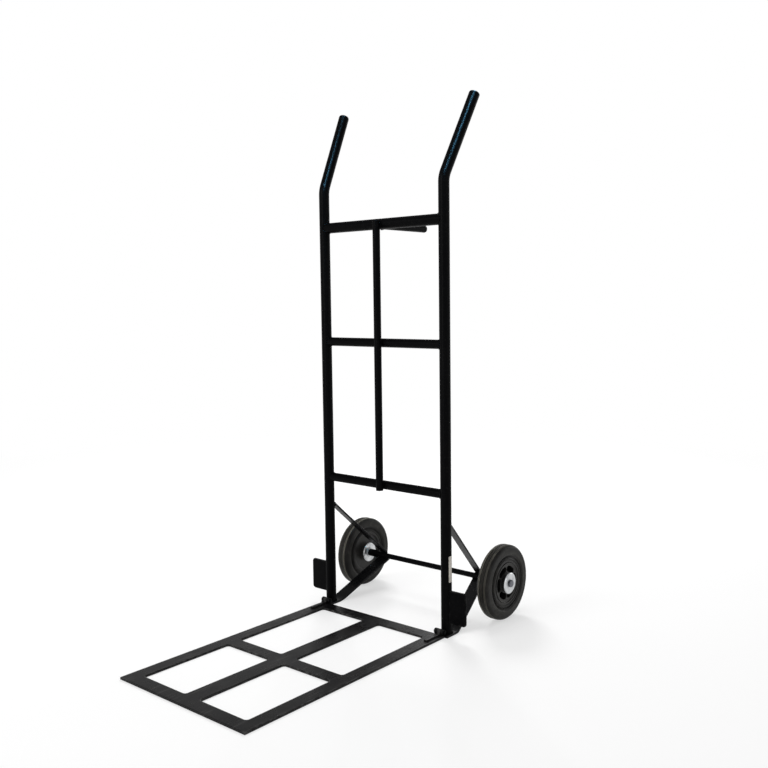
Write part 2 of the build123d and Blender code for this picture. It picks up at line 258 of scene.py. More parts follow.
class Effects:
    """Shader groups that several finishes share, each on object coordinates."""

    def __init__(self) -> None:
        """Build every group once."""
        self.grime = self._group("cloudy_grime", "Mask", self._grime, scale=8.0, low=0.4, high=0.7)
        self.rub = self._group(
            "rubbed_edges", "Mask", self._rub, amount=0.5, scale=60.0, solid=0.0
        )
        self.grain = self._group("fine_grain", "Height", self._grain, scale=600.0)
        self.scuff = self._group(
            "load_scuffs", "Mask", self._scuff, scale=260.0, low=0.63, high=0.72
        )
        self.rings = self._group("turned_rings", "Height", self._rings, pitch=0.001, waver=0.4)

    def _group(
        self, name: str, output: str, effect: Callable[[GroupBench], Socket], **inputs: float
    ) -> Tree:
        """Build one group.

        Args:
            name: Name of the group.
            output: Title of its output.
            effect: Method that lays its nodes.
            inputs: First value of each input.

        Returns:
            The group.
        """
        bench = GroupBench(name, TreeKind.SHADER, (output, SocketKind.VALUE), inputs)
        bench.feed(bench.result, effect(bench))
        return bench.tree

    def _grime(self, bench: GroupBench) -> Socket:
        """Cloudy mask for dust, smears and uneven gloss."""
        cloud = bench.noise(bench.place(), bench.given["Scale"], detail=6.0, roughness=0.62)
        return bench.ramp(cloud, bench.given["Low"], bench.given["High"])

    def _rub(self, bench: GroupBench) -> Socket:
        """Broken mask along the edges that the meshes mark with the rub attribute: wear on most pieces, dust and
        painted highlight on the tyre.

        Args:
            bench: Bench of the group.

        Returns:
            The mask.
        """
        patches = bench.noise(bench.place(), bench.given["Scale"], detail=4.0, roughness=0.6)
        broken = bench.ramp(patches, 0.42, 0.66)
        marked = bench.add("ShaderNodeAttribute", attribute_name="rub").outputs["Fac"]
        patch = bench.math("MULTIPLY", marked, bench.math("MAXIMUM", broken, bench.given["Solid"]))
        return bench.math("MULTIPLY", patch, bench.given["Amount"])

    def _grain(self, bench: GroupBench) -> Socket:
        """Height of a fine even grain: orange peel on paint, texture on mouldings."""
        return bench.noise(bench.place(), bench.given["Scale"], detail=2.0)

    def _scuff(self, bench: GroupBench) -> Socket:
        """Mask of long thin scuffs along Y with a few across.

        Args:
            bench: Bench of the group.

        Returns:
            The mask.
        """
        place, masks = bench.place(), []
        for swing, stretch in ((0.12, (1.0, 0.03, 1.0)), (-0.5, (0.8, 0.05, 0.8))):
            inputs = {"Vector": place, "Rotation": (0.0, 0.0, swing), "Scale": stretch}
            run = bench.add("ShaderNodeMapping", inputs).outputs[0]
            streak = bench.noise(run, bench.given["Scale"], detail=2.0)
            masks.append(bench.ramp(streak, bench.given["Low"], bench.given["High"]))
        return bench.math("MAXIMUM", *masks)

    def _rings(self, bench: GroupBench) -> Socket:
        """Height of fine rings round the wheels' axis, as turning and moulding leave them.

        Args:
            bench: Bench of the group.

        Returns:
            The height.
        """
        centre, place, squares = joint_place("wheel_right_spin"), bench.place(), []
        parts = bench.add("ShaderNodeSeparateXYZ", {"Vector": place}).outputs
        for axis, middle in (("Y", centre.y), ("Z", centre.z)):
            offset = bench.math("SUBTRACT", parts[axis], middle)
            squares.append(bench.math("MULTIPLY", offset, offset))
        radius = bench.math("SQRT", bench.math("ADD", *squares))
        waver = bench.math("MULTIPLY", bench.noise(place, 90.0, detail=3.0), bench.given["Waver"])
        turns = bench.math("ADD", bench.math("DIVIDE", radius, bench.given["Pitch"]), waver)
        return bench.ramp(bench.math("SINE", bench.math("MULTIPLY", turns, math.tau)), -1.0, 1.0)


@dataclass(frozen=True)
class Coat:
    """Built material and the slot of the record that it belongs to."""

    material: Material
    slot: Slot


@dataclass(frozen=True)
class Finish:
    """Look of one kind of surface."""

    name: str
    slot: Slot

    def inputs(self, bench: Bench, effects: Effects) -> dict[str, object]:
        """Inputs of the Principled shader by name, which each kind of finish gives."""
        raise NotImplementedError

    def coat(self, effects: Effects) -> Coat:
        """Build the material.

        Args:
            effects: Shared shader groups.

        Returns:
            The material with its slot.
        """
        material = bpy.data.materials.new(self.name)
        bench = Bench.cleared(material)
        shader = bench.add("ShaderNodeBsdfPrincipled", self.inputs(bench, effects))
        bench.add("ShaderNodeOutputMaterial", {"Surface": shader.outputs["BSDF"]})
        return Coat(material, self.slot)


@dataclass(frozen=True)
class PaintFinish(Finish):
    """Sprayed black enamel with orange peel, dust, scuffs and rubbed edges."""

    colour: Triple = (0.0018, 0.0018, 0.0021)
    dust_colour: Triple = (0.05, 0.048, 0.045)
    worn_colour: Triple = (0.11, 0.108, 0.105)
    gloss: Pair = (0.28, 0.38)
    specular: float = 0.025
    dust: float = 0.02
    scuffs: float = 0.03
    rub: float = 0.22
    rub_dulling: float = 0.25
    peel_depth: float = 0.000006

    def inputs(self, bench: Bench, effects: Effects) -> dict[str, object]:
        """Enamel, with dust, scuffs and rubbed edges over it.

        Args:
            bench: Bench of the material.
            effects: Shared shader groups.

        Returns:
            Inputs of the Principled shader.
        """
        cloud = bench.group(effects.grime, scale=9.0, low=0.46, high=0.74)
        smear = bench.group(effects.grime, scale=23.0, low=0.3, high=0.72)
        scuff = bench.group(effects.scuff, scale=230.0)
        rubbed = bench.group(effects.rub, amount=self.rub, scale=70.0)
        peel = bench.group(effects.grain, scale=160.0)
        tone = bench.mix(bench.math("MULTIPLY", cloud, self.dust), self.colour, self.dust_colour)
        tone = bench.mix(bench.math("MULTIPLY", scuff, self.scuffs), tone, self.worn_colour)
        gloss = bench.ramp(smear, 0.0, 1.0, self.gloss)
        return {
            "Base Color": bench.mix(rubbed, tone, self.worn_colour),
            "Roughness": bench.math("MULTIPLY_ADD", rubbed, self.rub_dulling, gloss),
            "Normal": bench.bump(peel, self.peel_depth, strength=1.0),
            "Specular IOR Level": self.specular,
        }


@dataclass(frozen=True)
class RubberFinish(Finish):
    """Moulded tyre rubber with mould rings, bloom, floor dust, and painted highlight in a dust tone on its marked
    grooves and sidewall ring.
    """

    colour: Triple = (0.0046, 0.0044, 0.0041)
    bloom_colour: Triple = (0.0145, 0.0137, 0.0121)
    dust_colour: Triple = (0.3, 0.285, 0.24)
    roughness: Pair = (0.4, 0.58)
    specular: float = 0.14
    dust: float = 0.06
    grain_share: float = 0.6
    ring_depth: float = 0.00006

    def inputs(self, bench: Bench, effects: Effects) -> dict[str, object]:
        """Blooming rubber, with dust and painted highlight in its marked grooves and on its sidewall ring.

        Args:
            bench: Bench of the material.
            effects: Shared shader groups.

        Returns:
            Inputs of the Principled shader.
        """
        bloom = bench.group(effects.grime, scale=16.0, low=0.36, high=0.68)
        dust = bench.group(effects.grime, scale=55.0, low=0.5, high=0.76)
        # dust and painted highlight: light lines along the grooves and the sidewall ring that the rub attribute
        # marks
        rubbed = bench.group(effects.rub, amount=0.9, scale=34.0, solid=0.6)
        rings = bench.group(effects.rings, pitch=0.0016, waver=0.25)
        grain = bench.group(effects.grain, scale=1500.0)
        tone = bench.mix(bloom, self.colour, self.bloom_colour)
        tone = bench.mix(bench.math("MULTIPLY", dust, self.dust), tone, self.dust_colour)
        height = bench.math("MULTIPLY_ADD", grain, self.grain_share, rings)
        return {
            # the marked lines take the dust colour, as dust and painted highlight
            "Base Color": bench.mix(rubbed, tone, self.dust_colour),
            "Roughness": bench.ramp(bloom, 0.0, 1.0, self.roughness),
            "Normal": bench.bump(height, self.ring_depth, strength=0.6),
            "Specular IOR Level": self.specular,
        }


@dataclass(frozen=True)
class MouldedFinish(Finish):
    """Satin moulded plastic with a fine grain, dusty on its faces, with painted shade that turns its pockets near
    black.
    """

    colour: Triple = (0.005, 0.005, 0.0054)
    dust_colour: Triple = (0.05, 0.047, 0.042)
    # painted shade: near-black colour painted into the pockets that the deep attribute marks
    pocket_shade_colour: Triple = (0.0012, 0.0012, 0.0013)
    roughness: Pair = (0.36, 0.52)
    specular: float = 0.2
    dust: float = 0.2
    film: float = 0.0
    grain_scale: float = 1100.0
    grain_depth: float = 0.00004

    def inputs(self, bench: Bench, effects: Effects) -> dict[str, object]:
        """Plastic under a film of dust, which the deep attribute keeps off the pockets, where it paints shade in
        near black.

        Args:
            bench: Bench of the material.
            effects: Shared shader groups.

        Returns:
            Inputs of the Principled shader.
        """
        cloud = bench.group(effects.grime, scale=30.0, low=0.42, high=0.72)
        rubbed = bench.group(effects.rub, amount=0.25, scale=140.0)
        grain = bench.group(effects.grain, scale=self.grain_scale)
        # painted shade: the deep attribute keeps dust off the pockets and blends them to the painted shade colour
        deep = bench.add("ShaderNodeAttribute", attribute_name="deep").outputs["Fac"]
        film = bench.math("MULTIPLY_ADD", cloud, self.dust, self.film)
        film = bench.math("MULTIPLY", film, bench.math("SUBTRACT", 1.0, deep))
        tone = bench.mix(film, self.colour, self.dust_colour)
        tone = bench.mix(rubbed, tone, self.dust_colour)
        return {
            "Base Color": bench.mix(deep, tone, self.pocket_shade_colour),
            "Roughness": bench.ramp(cloud, 0.0, 1.0, self.roughness),
            "Normal": bench.bump(grain, self.grain_depth, strength=0.7),
            "Specular IOR Level": self.specular,
        }


@dataclass(frozen=True)
class PlatedFinish(Finish):
    """Zinc plate on turned steel."""

    colour: Triple = (0.6, 0.61, 0.62)
    dull_colour: Triple = (0.36, 0.37, 0.38)
    roughness: Pair = (0.3, 0.46)
    ring_pitch: float = 0.0009
    ring_depth: float = 0.00003

    def inputs(self, bench: Bench, effects: Effects) -> dict[str, object]:
        """Metal with dull clouds and turning rings.

        Args:
            bench: Bench of the material.
            effects: Shared shader groups.

        Returns:
            Inputs of the Principled shader.
        """
        cloud = bench.group(effects.grime, scale=60.0, low=0.42, high=0.8)
        rings = bench.group(effects.rings, pitch=self.ring_pitch, waver=0.5)
        return {
            "Base Color": bench.mix(cloud, self.colour, self.dull_colour),
            "Roughness": bench.ramp(cloud, 0.0, 1.0, self.roughness),
            "Normal": bench.bump(rings, self.ring_depth, strength=0.5),
            "Metallic": 1.0,
        }


@dataclass(frozen=True)
class FilmFinish(Finish):
    """Blank sticker film, a little soiled."""

    colour: Triple = (0.5, 0.47, 0.42)
    soil_colour: Triple = (0.3, 0.27, 0.23)
    roughness: float = 0.45
    soil: float = 0.5
    grain_depth: float = 0.00002

    def inputs(self, bench: Bench, effects: Effects) -> dict[str, object]:
        """Film with soil in clouds and along marked edges.

        Args:
            bench: Bench of the material.
            effects: Shared shader groups.

        Returns:
            Inputs of the Principled shader.
        """
        cloud = bench.group(effects.grime, scale=70.0, low=0.5, high=0.85)
        rubbed = bench.group(effects.rub, amount=0.8, scale=160.0)
        grain = bench.group(effects.grain, scale=2200.0)
        soil = bench.math("MAXIMUM", bench.math("MULTIPLY", cloud, self.soil), rubbed)
        return {
            "Base Color": bench.mix(soil, self.colour, self.soil_colour),
            "Roughness": self.roughness,
            "Normal": bench.bump(grain, self.grain_depth, strength=0.3),
        }


class Finishes:
    """Coats of the truck, each built once."""

    def __init__(self, effects: Effects) -> None:
        """Build every coat.

        Args:
            effects: Shared shader groups.
        """
        self.enamel = PaintFinish("gloss_black_enamel", Slot.FRAME).coat(effects)
        self.bar_enamel = PaintFinish(
            "satin_black_enamel",
            Slot.FRAME,
            colour=(0.0034, 0.0035, 0.0041),
            gloss=(0.2, 0.32),
            specular=0.11,
            dust=0.1,
        ).coat(effects)
        self.toe_enamel = PaintFinish(
            "rubbed_black_enamel",
            Slot.TOE,
            colour=(0.0045, 0.0042, 0.0047),
            gloss=(0.22, 0.4),
            specular=0.11,
            dust=0.16,
            scuffs=0.2,
            rub=0.4,
        ).coat(effects)
        self.rubber = RubberFinish("tyre_rubber_moulded", Slot.TYRE).coat(effects)
        self.wheel = MouldedFinish(
            "wheel_centre_moulding", Slot.WHEEL, dust=0.3, film=0.28
        ).coat(effects)
        self.plug = MouldedFinish(
            "plug_moulding", Slot.PLUG, roughness=(0.3, 0.42), dust=0.1, grain_scale=1600.0
        ).coat(effects)
        self.zinc = PlatedFinish("bright_zinc", Slot.ZINC).coat(effects)
        self.steel = PlatedFinish(
            "dull_dark_steel",
            Slot.STEEL,
            colour=(0.16, 0.165, 0.185),
            dull_colour=(0.03, 0.03, 0.034),
            roughness=(0.34, 0.55),
        ).coat(effects)
        self.film = FilmFinish("blank_sticker_film", Slot.LABEL).coat(effects)


def joint_place(name: str) -> Vector:
    """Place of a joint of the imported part."""
    return Vector(next(joint["pos_m"] for joint in frame["joints"] if joint["name"] == name))


def half_size(node: str, axis: int) -> float:
    """Half of a solid's size along an axis."""
    low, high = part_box(node)
    return (high[axis] - low[axis]) / 2


def middle_of(node: str, axis: int) -> float:
    """Middle of a solid's box along an axis."""
    low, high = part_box(node)
    return (low[axis] + high[axis]) / 2


def points_at(x: object, y: object, z: object) -> np.ndarray:
    """Points whose coordinates are each an array or one number."""
    return np.column_stack(np.broadcast_arrays(x, y, z))


def circle_points(count: int) -> np.ndarray:
    """Unit circle as cosine and sine columns."""
    angles = np.linspace(0.0, math.tau, count, endpoint=False)
    return np.stack((np.cos(angles), np.sin(angles)), axis=1)


def half_chord(radius: float, aside: object) -> np.ndarray:
    """Half of a circle's chord at a distance from its middle."""
    return np.sqrt(np.maximum(radius**2 - aside**2, 0.0))


def skin(rings: np.ndarray, loop: bool = False, cap: bool = True, shut: bool = True) -> Shape:
    """Skin a stack of rings that have the same number of points.

    Args:
        rings: Points, as ring, point and coordinate.
        loop: Join the last ring to the first.
        cap: Close both ends of the stack with a face.
        shut: Join the last point of each ring to its first.

    Returns:
        Points and faces.
    """
    count, size = rings.shape[:2]
    faces = []
    for ring in range(count if loop else count - 1):
        low, high = ring * size, (ring + 1) % count * size
        for i in range(size if shut else size - 1):
            ahead = (i + 1) % size
            faces.append([low + i, low + ahead, high + ahead, high + i])
    if cap and not loop:
        faces += [list(range(size))[::-1], list(range((count - 1) * size, count * size))]
    return rings.reshape(-1, 3), faces


def join(shapes: Sequence[Shape]) -> Shape:
    """Several shapes as one.

    Args:
        shapes: Points and faces of each shape.

    Returns:
        Points and faces of all.
    """
    blocks, faces, first = [], [], 0
    for points, shape_faces in shapes:
        blocks.append(points)
        faces += [[first + index for index in face] for face in shape_faces]
        first += len(points)
    return np.concatenate(blocks), faces


def round_corners(corners: Sequence[Triple], steps: int = 4) -> np.ndarray:
    """Closed flat outline with rounded corners.

    Args:
        corners: Two coordinates and the radius of each corner, in order.
        steps: Straight runs in each rounded corner.

    Returns:
        Points of the outline.
    """
    spots = [np.array(corner[:2], float) for corner in corners]
    points = []
    for index, (_, _, radius) in enumerate(corners):
        here = spots[index]
        if radius == 0:
            points.append(here)
            continue
        before = spots[index - 1] - here
        after = spots[(index + 1) % len(spots)] - here
        before, after = before / np.linalg.norm(before), after / np.linalg.norm(after)
        half = math.acos(np.clip(before @ after, -1.0, 1.0)) / 2
        bisector = (before + after) / np.linalg.norm(before + after)
        centre = here + bisector * radius / math.sin(half)
        start = here + before * radius / math.tan(half) - centre
        end = here + after * radius / math.tan(half) - centre
        for share in np.linspace(0.0, 1.0, steps + 1):
            arm = start * (1 - share) + end * share
            points.append(centre + arm * radius / np.linalg.norm(arm))
    return np.array(points)


def turn(profile: np.ndarray, centre: Vector, sign: int = 1, segments: int = 96) -> Shape:
    """Turn a closed profile round an axis along X.

    Args:
        profile: Points along the axis and out from it.
        centre: Point on the axis where the first coordinate is zero.
        sign: Direction of the first coordinate along X.
        segments: Divisions of the turn.

    Returns:
        Points and faces.
    """
    along, out = profile.T
    rings = [
        points_at(centre.x + sign * along, centre.y + cosine * out, centre.z + sine * out)
        for cosine, sine in circle_points(segments)
    ]
    return skin(np.array(rings), loop=True)


def turn_pair(profile: np.ndarray, centre: Vector, segments: int) -> Shape:
    """Turn a profile at both ends of its axis, as a mirrored pair."""
    return join([turn(profile, centre, sign, segments) for sign in (1, -1)])


def rounded_plate(
    loops: Sequence[np.ndarray],
    thickness: float,
    edge: float,
    place: Matrix,
    band: float = 0.003,
    steps: int = 3,
) -> BMesh:
    """Flat plate whose edges are rounded, with the edges marked as rubbed.

    Args:
        loops: Outer outline counter-clockwise, then holes clockwise.
        thickness: Thickness of the plate.
        edge: Radius of the edges.
        place: Where the plate's outline plane goes.
        band: Width of the flat strip beside an edge, over which the rubbing fades.
        steps: Straight runs in each rounded edge.

    Returns:
        The closed plate.
    """
    shape = bmesh.new()
    rub = shape.verts.layers.float.new("rub")
    arc = [QUARTER_TURN * step / steps for step in range(steps + 1)]
    low = [(edge * (1 - math.sin(angle)), edge * (1 - math.cos(angle))) for angle in arc]
    high = [(inset, thickness - height) for inset, height in low[::-1]]
    levels = [(edge + band, 0.0), *low, *high, (edge + band, thickness)]
    rims: tuple[list, list] = ([], [])
    for loop in loops:
        ahead = np.roll(loop, -1, axis=0) - loop
        normal = np.stack((-ahead[:, 1], ahead[:, 0]), axis=1)
        normal /= np.linalg.norm(normal, axis=1)[:, None]
        last = np.roll(normal, 1, axis=0)
        inward = (normal + last) / (1 + (normal * last).sum(axis=1))[:, None]
        rings = []
        for index, (inset, height) in enumerate(levels):
            spots = loop + inward * inset
            ring = [shape.verts.new(place @ Vector((*spot, height))) for spot in spots]
            for vert in ring:
                vert[rub] = float(0 < index < len(levels) - 1)
            rings.append(ring)
        neighbours = [(i, (i + 1) % len(loop)) for i in range(len(loop))]
        for first, second in zip(rings, rings[1:]):
            for i, j in neighbours:
                shape.faces.new((first[i], first[j], second[j], second[i]))
        for rim, ring in zip(rims, (rings[0], rings[-1])):
            rim += [shape.edges.get((ring[i], ring[j])) for i, j in neighbours]
    for rim in rims:
        bmesh.ops.triangle_fill(shape, use_beauty=True, edges=rim)
    return shape


def make_object(
    name: str,
    shape: Shape | BMesh,
    material: Material,
    sharp: float = SMOOTH_LIMIT,
    even: bool = False,
) -> bpy.types.Object:
    """Turn a closed shape into an object with outward faces.

    Args:
        name: Name of the object.
        shape: Points and faces, or a mesh under construction, which is used up.
        material: Material of the whole object.
        sharp: Edge angle in degrees above which shading breaks.
        even: Weight the normals by face area, for flat pieces with rounded edges.

    Returns:
        The linked object.
    """
    mesh = bpy.data.meshes.new(name)
    work = shape
    if not isinstance(shape, BMesh):
        mesh.from_pydata([tuple(point) for point in shape[0]], [], shape[1])
        work = bmesh.new()
        work.from_mesh(mesh)
    bmesh.ops.remove_doubles(work, verts=work.verts, dist=MERGE_DISTANCE)
    bmesh.ops.recalc_face_normals(work, faces=work.faces)
    for face in work.faces:
        face.smooth = True
    work.to_mesh(mesh)
    work.free()
    mesh.set_sharp_from_angle(angle=math.radians(sharp))
    mesh.materials.clear()
    mesh.materials.append(material)
    made = bpy.data.objects.new(name, mesh)
    bpy.context.scene.collection.objects.link(made)
    if even:
        made.modifiers.new("even_normals", "WEIGHTED_NORMAL").keep_sharp = True
    return made


def add_piece(
    name: str,
    shape: Shape | BMesh,
    coat: Coat,
    body: Body,
    *nodes: str,
    sharp: float = SMOOTH_LIMIT,
    even: bool = False,
) -> bpy.types.Object:
    """Make a piece and give it its body and the solids that it stands for.

    Args:
        name: Name of the piece.
        shape: Points and faces, or a mesh under construction, which is used up.
        coat: Finish of the whole piece.
        body: Body that it rides on.
        nodes: Solids that it replaces.
        sharp: Edge angle in degrees above which shading breaks.
        even: Weight the normals by face area, for flat pieces with rounded edges.

    Returns:
        The finished piece.
    """
    piece = make_object(name, shape, coat.material, sharp, even)
    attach(piece, body.value)
    if nodes:
        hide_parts(*nodes)
    LOG.info("%s rides on %s, for %s", name, body.value, ", ".join(nodes) or "no solid")
    return piece


def dress_node(node: str, coat: Coat) -> None:
    """Give a solid that stays its finish.

    Args:
        node: Name of the solid.
        coat: Its finish.
    """
    mesh = frame["nodes"][node].data
    mesh.materials.clear()
    mesh.materials.append(coat.material)
    LOG.info("%s keeps its solid, in %s", node, coat.material.name)


def evaluated_mesh(source: bpy.types.Object) -> bpy.types.Mesh:
    """Plain mesh of an object with its modifiers applied."""
    graph = bpy.context.evaluated_depsgraph_get()
    return bpy.data.meshes.new_from_object(source.evaluated_get(graph))


class Growers:
    """Geometry node trees that follow a path or repeat a shape."""

    def __init__(self) -> None:
        """Build every tree once."""
        self.tube = self._tree("tube_along_path", self._tube, radius=0.01, sides=48)
        self.bead = self._tree(
            "weld_bead",
            self._bead,
            radius=0.002,
            ripple_pitch=0.0024,
            ripple_depth=0.2,
            waver=0.5,
            sides=8,
            seed=3.0,
        )
        self.copies = self._tree("turned_copies", self._copies, copies=6)

    def _tree(self, name: str, lay: Callable[[GroupBench], Socket], **inputs: float) -> Tree:
        """Build one tree, which ends in real geometry with its material.

        Args:
            name: Name of the tree.
            lay: Method that lays its nodes.
            inputs: First value of each input; whole numbers are counts.

        Returns:
            The tree.
        """
        bare = {"geometry": SocketKind.GEOMETRY, "material": SocketKind.MATERIAL}
        output = ("Geometry", SocketKind.GEOMETRY)
        bench = GroupBench(name, TreeKind.GEOMETRY, output, bare | inputs)
        real = bench.add("GeometryNodeRealizeInstances", {"Geometry": lay(bench)}).outputs[0]
        coated = {"Geometry": real, "Material": bench.given["Material"]}
        bench.feed(bench.result, bench.add("GeometryNodeSetMaterial", coated).outputs[0])
        return bench.tree

    def _path(self, bench: GroupBench) -> Socket:
        """Curve along the edges of the source mesh."""
        return bench.add("GeometryNodeMeshToCurve", {"Mesh": bench.given["Geometry"]}).outputs[0]

    def _sweep(self, bench: GroupBench, path: Socket, **more: Socket) -> Socket:
        """Sweep a round section along a curve and close its ends.

        Args:
            bench: Bench of the tree.
            path: The curve.
            more: Other inputs of the sweep.

        Returns:
            The swept mesh.
        """
        section = {"Resolution": bench.given["Sides"], "Radius": bench.given["Radius"]}
        circle = bench.add("GeometryNodeCurvePrimitiveCircle", section).outputs[0]
        sweep = {"Curve": path, "Profile Curve": circle, "Fill Caps": True, **more}
        return bench.add("GeometryNodeCurveToMesh", sweep).outputs[0]

    def _tube(self, bench: GroupBench) -> Socket:
        """Round bar or tube along a path."""
        return self._sweep(bench, self._path(bench))

    def _bead(self, bench: GroupBench) -> Socket:
        """Rippled weld bead along each path, thinner where it starts and stops.

        Args:
            bench: Bench of the tree.

        Returns:
            The beads.
        """
        pitch = bench.given["Ripple Pitch"]
        fine = {"Curve": self._path(bench), "Length": bench.math("DIVIDE", pitch, 4.0)}
        run = bench.add("GeometryNodeResampleCurve", fine, mode="LENGTH").outputs[0]
        along = bench.add("GeometryNodeSplineParameter").outputs
        turns = bench.math("DIVIDE", along["Length"], pitch)
        ripple = bench.math("SINE", bench.math("MULTIPLY", turns, math.tau))
        swell = bench.math("MULTIPLY_ADD", ripple, bench.given["Ripple Depth"], 1.0)
        spot = bench.add("GeometryNodeInputPosition").outputs[0]
        noise = {"Vector": spot, "W": bench.given["Seed"], "Scale": 170.0, "Detail": 2.0}
        rough = bench.add("ShaderNodeTexNoise", noise, noise_dimensions="4D").outputs["Fac"]
        uneven = bench.math("MULTIPLY", bench.math("SUBTRACT", rough, 0.5), bench.given["Waver"])
        share = along["Factor"]
        near_end = bench.math("MINIMUM", share, bench.math("SUBTRACT", 1.0, share))
        taper = bench.ramp(near_end, 0.0, 0.06, (0.55, 1.0))
        scale = bench.math("MULTIPLY", bench.math("ADD", swell, uneven), taper)
        return self._sweep(bench, run, Scale=scale)

    def _copies(self, bench: GroupBench) -> Socket:
        """Copies of a sector, turned evenly round the X axis.

        Args:
            bench: Bench of the tree.

        Returns:
            The copies.
        """
        count = bench.given["Copies"]
        line = {"Count": count, "Offset": (0.0, 0.0, 0.0)}
        points = bench.add("GeometryNodeMeshLine", line).outputs[0]
        index = bench.add("GeometryNodeInputIndex").outputs[0]
        swing = bench.math("MULTIPLY", index, bench.math("DIVIDE", math.tau, count))
        angle = bench.add("ShaderNodeCombineXYZ", {"X": swing}).outputs[0]
        spread = {"Points": points, "Instance": bench.given["Geometry"], "Rotation": angle}
        return bench.add("GeometryNodeInstanceOnPoints", spread).outputs[0]

    def grow(self, tree: Tree, source: bpy.types.Mesh, coat: Coat, **values: object) -> Shape:
        """Run a tree on a source mesh and take its result as a plain shape.

        Args:
            tree: One of the trees of this class.
            source: Path or sector that the tree works on.
            coat: Finish whose material the tree sets.
            values: Other inputs of the tree, by name.

        Returns:
            Points and faces of the result.
        """
        holder = bpy.data.objects.new("grower", source)
        bpy.context.scene.collection.objects.link(holder)
        modifier = holder.modifiers.new("grow", "NODES")
        modifier.node_group = tree
        titled = {socket_title(key): value for key, value in values.items()}
        titled["Material"] = coat.material
        for item in tree.interface.items_tree:
            if item.in_out == "INPUT" and item.name in titled:
                modifier[item.identifier] = titled[item.name]
        result = evaluated_mesh(holder)
        points = np.array([vert.co for vert in result.vertices], float).reshape(-1, 3)
        faces = [list(face.vertices) for face in result.polygons]
        holder.modifiers.remove(modifier)
        bpy.data.objects.remove(holder)
        bpy.data.meshes.remove(result)
        return points, faces


def path_mesh(paths: Sequence[np.ndarray], closed: bool = False) -> bpy.types.Mesh:
    """Mesh of bare edges along one or more paths.

    Args:
        paths: Points of each path.
        closed: Join the end of each path to its start.

    Returns:
        The mesh.
    """
    points, edges = [], []
    for path in paths:
        first = len(points)
        points += [tuple(point) for point in path]
        edges += [(index, index + 1) for index in range(first, len(points) - 1)]
        if closed:
            edges.append((len(points) - 1, first))
    mesh = bpy.data.meshes.new("path")
    mesh.from_pydata(points, edges, [])
    return mesh


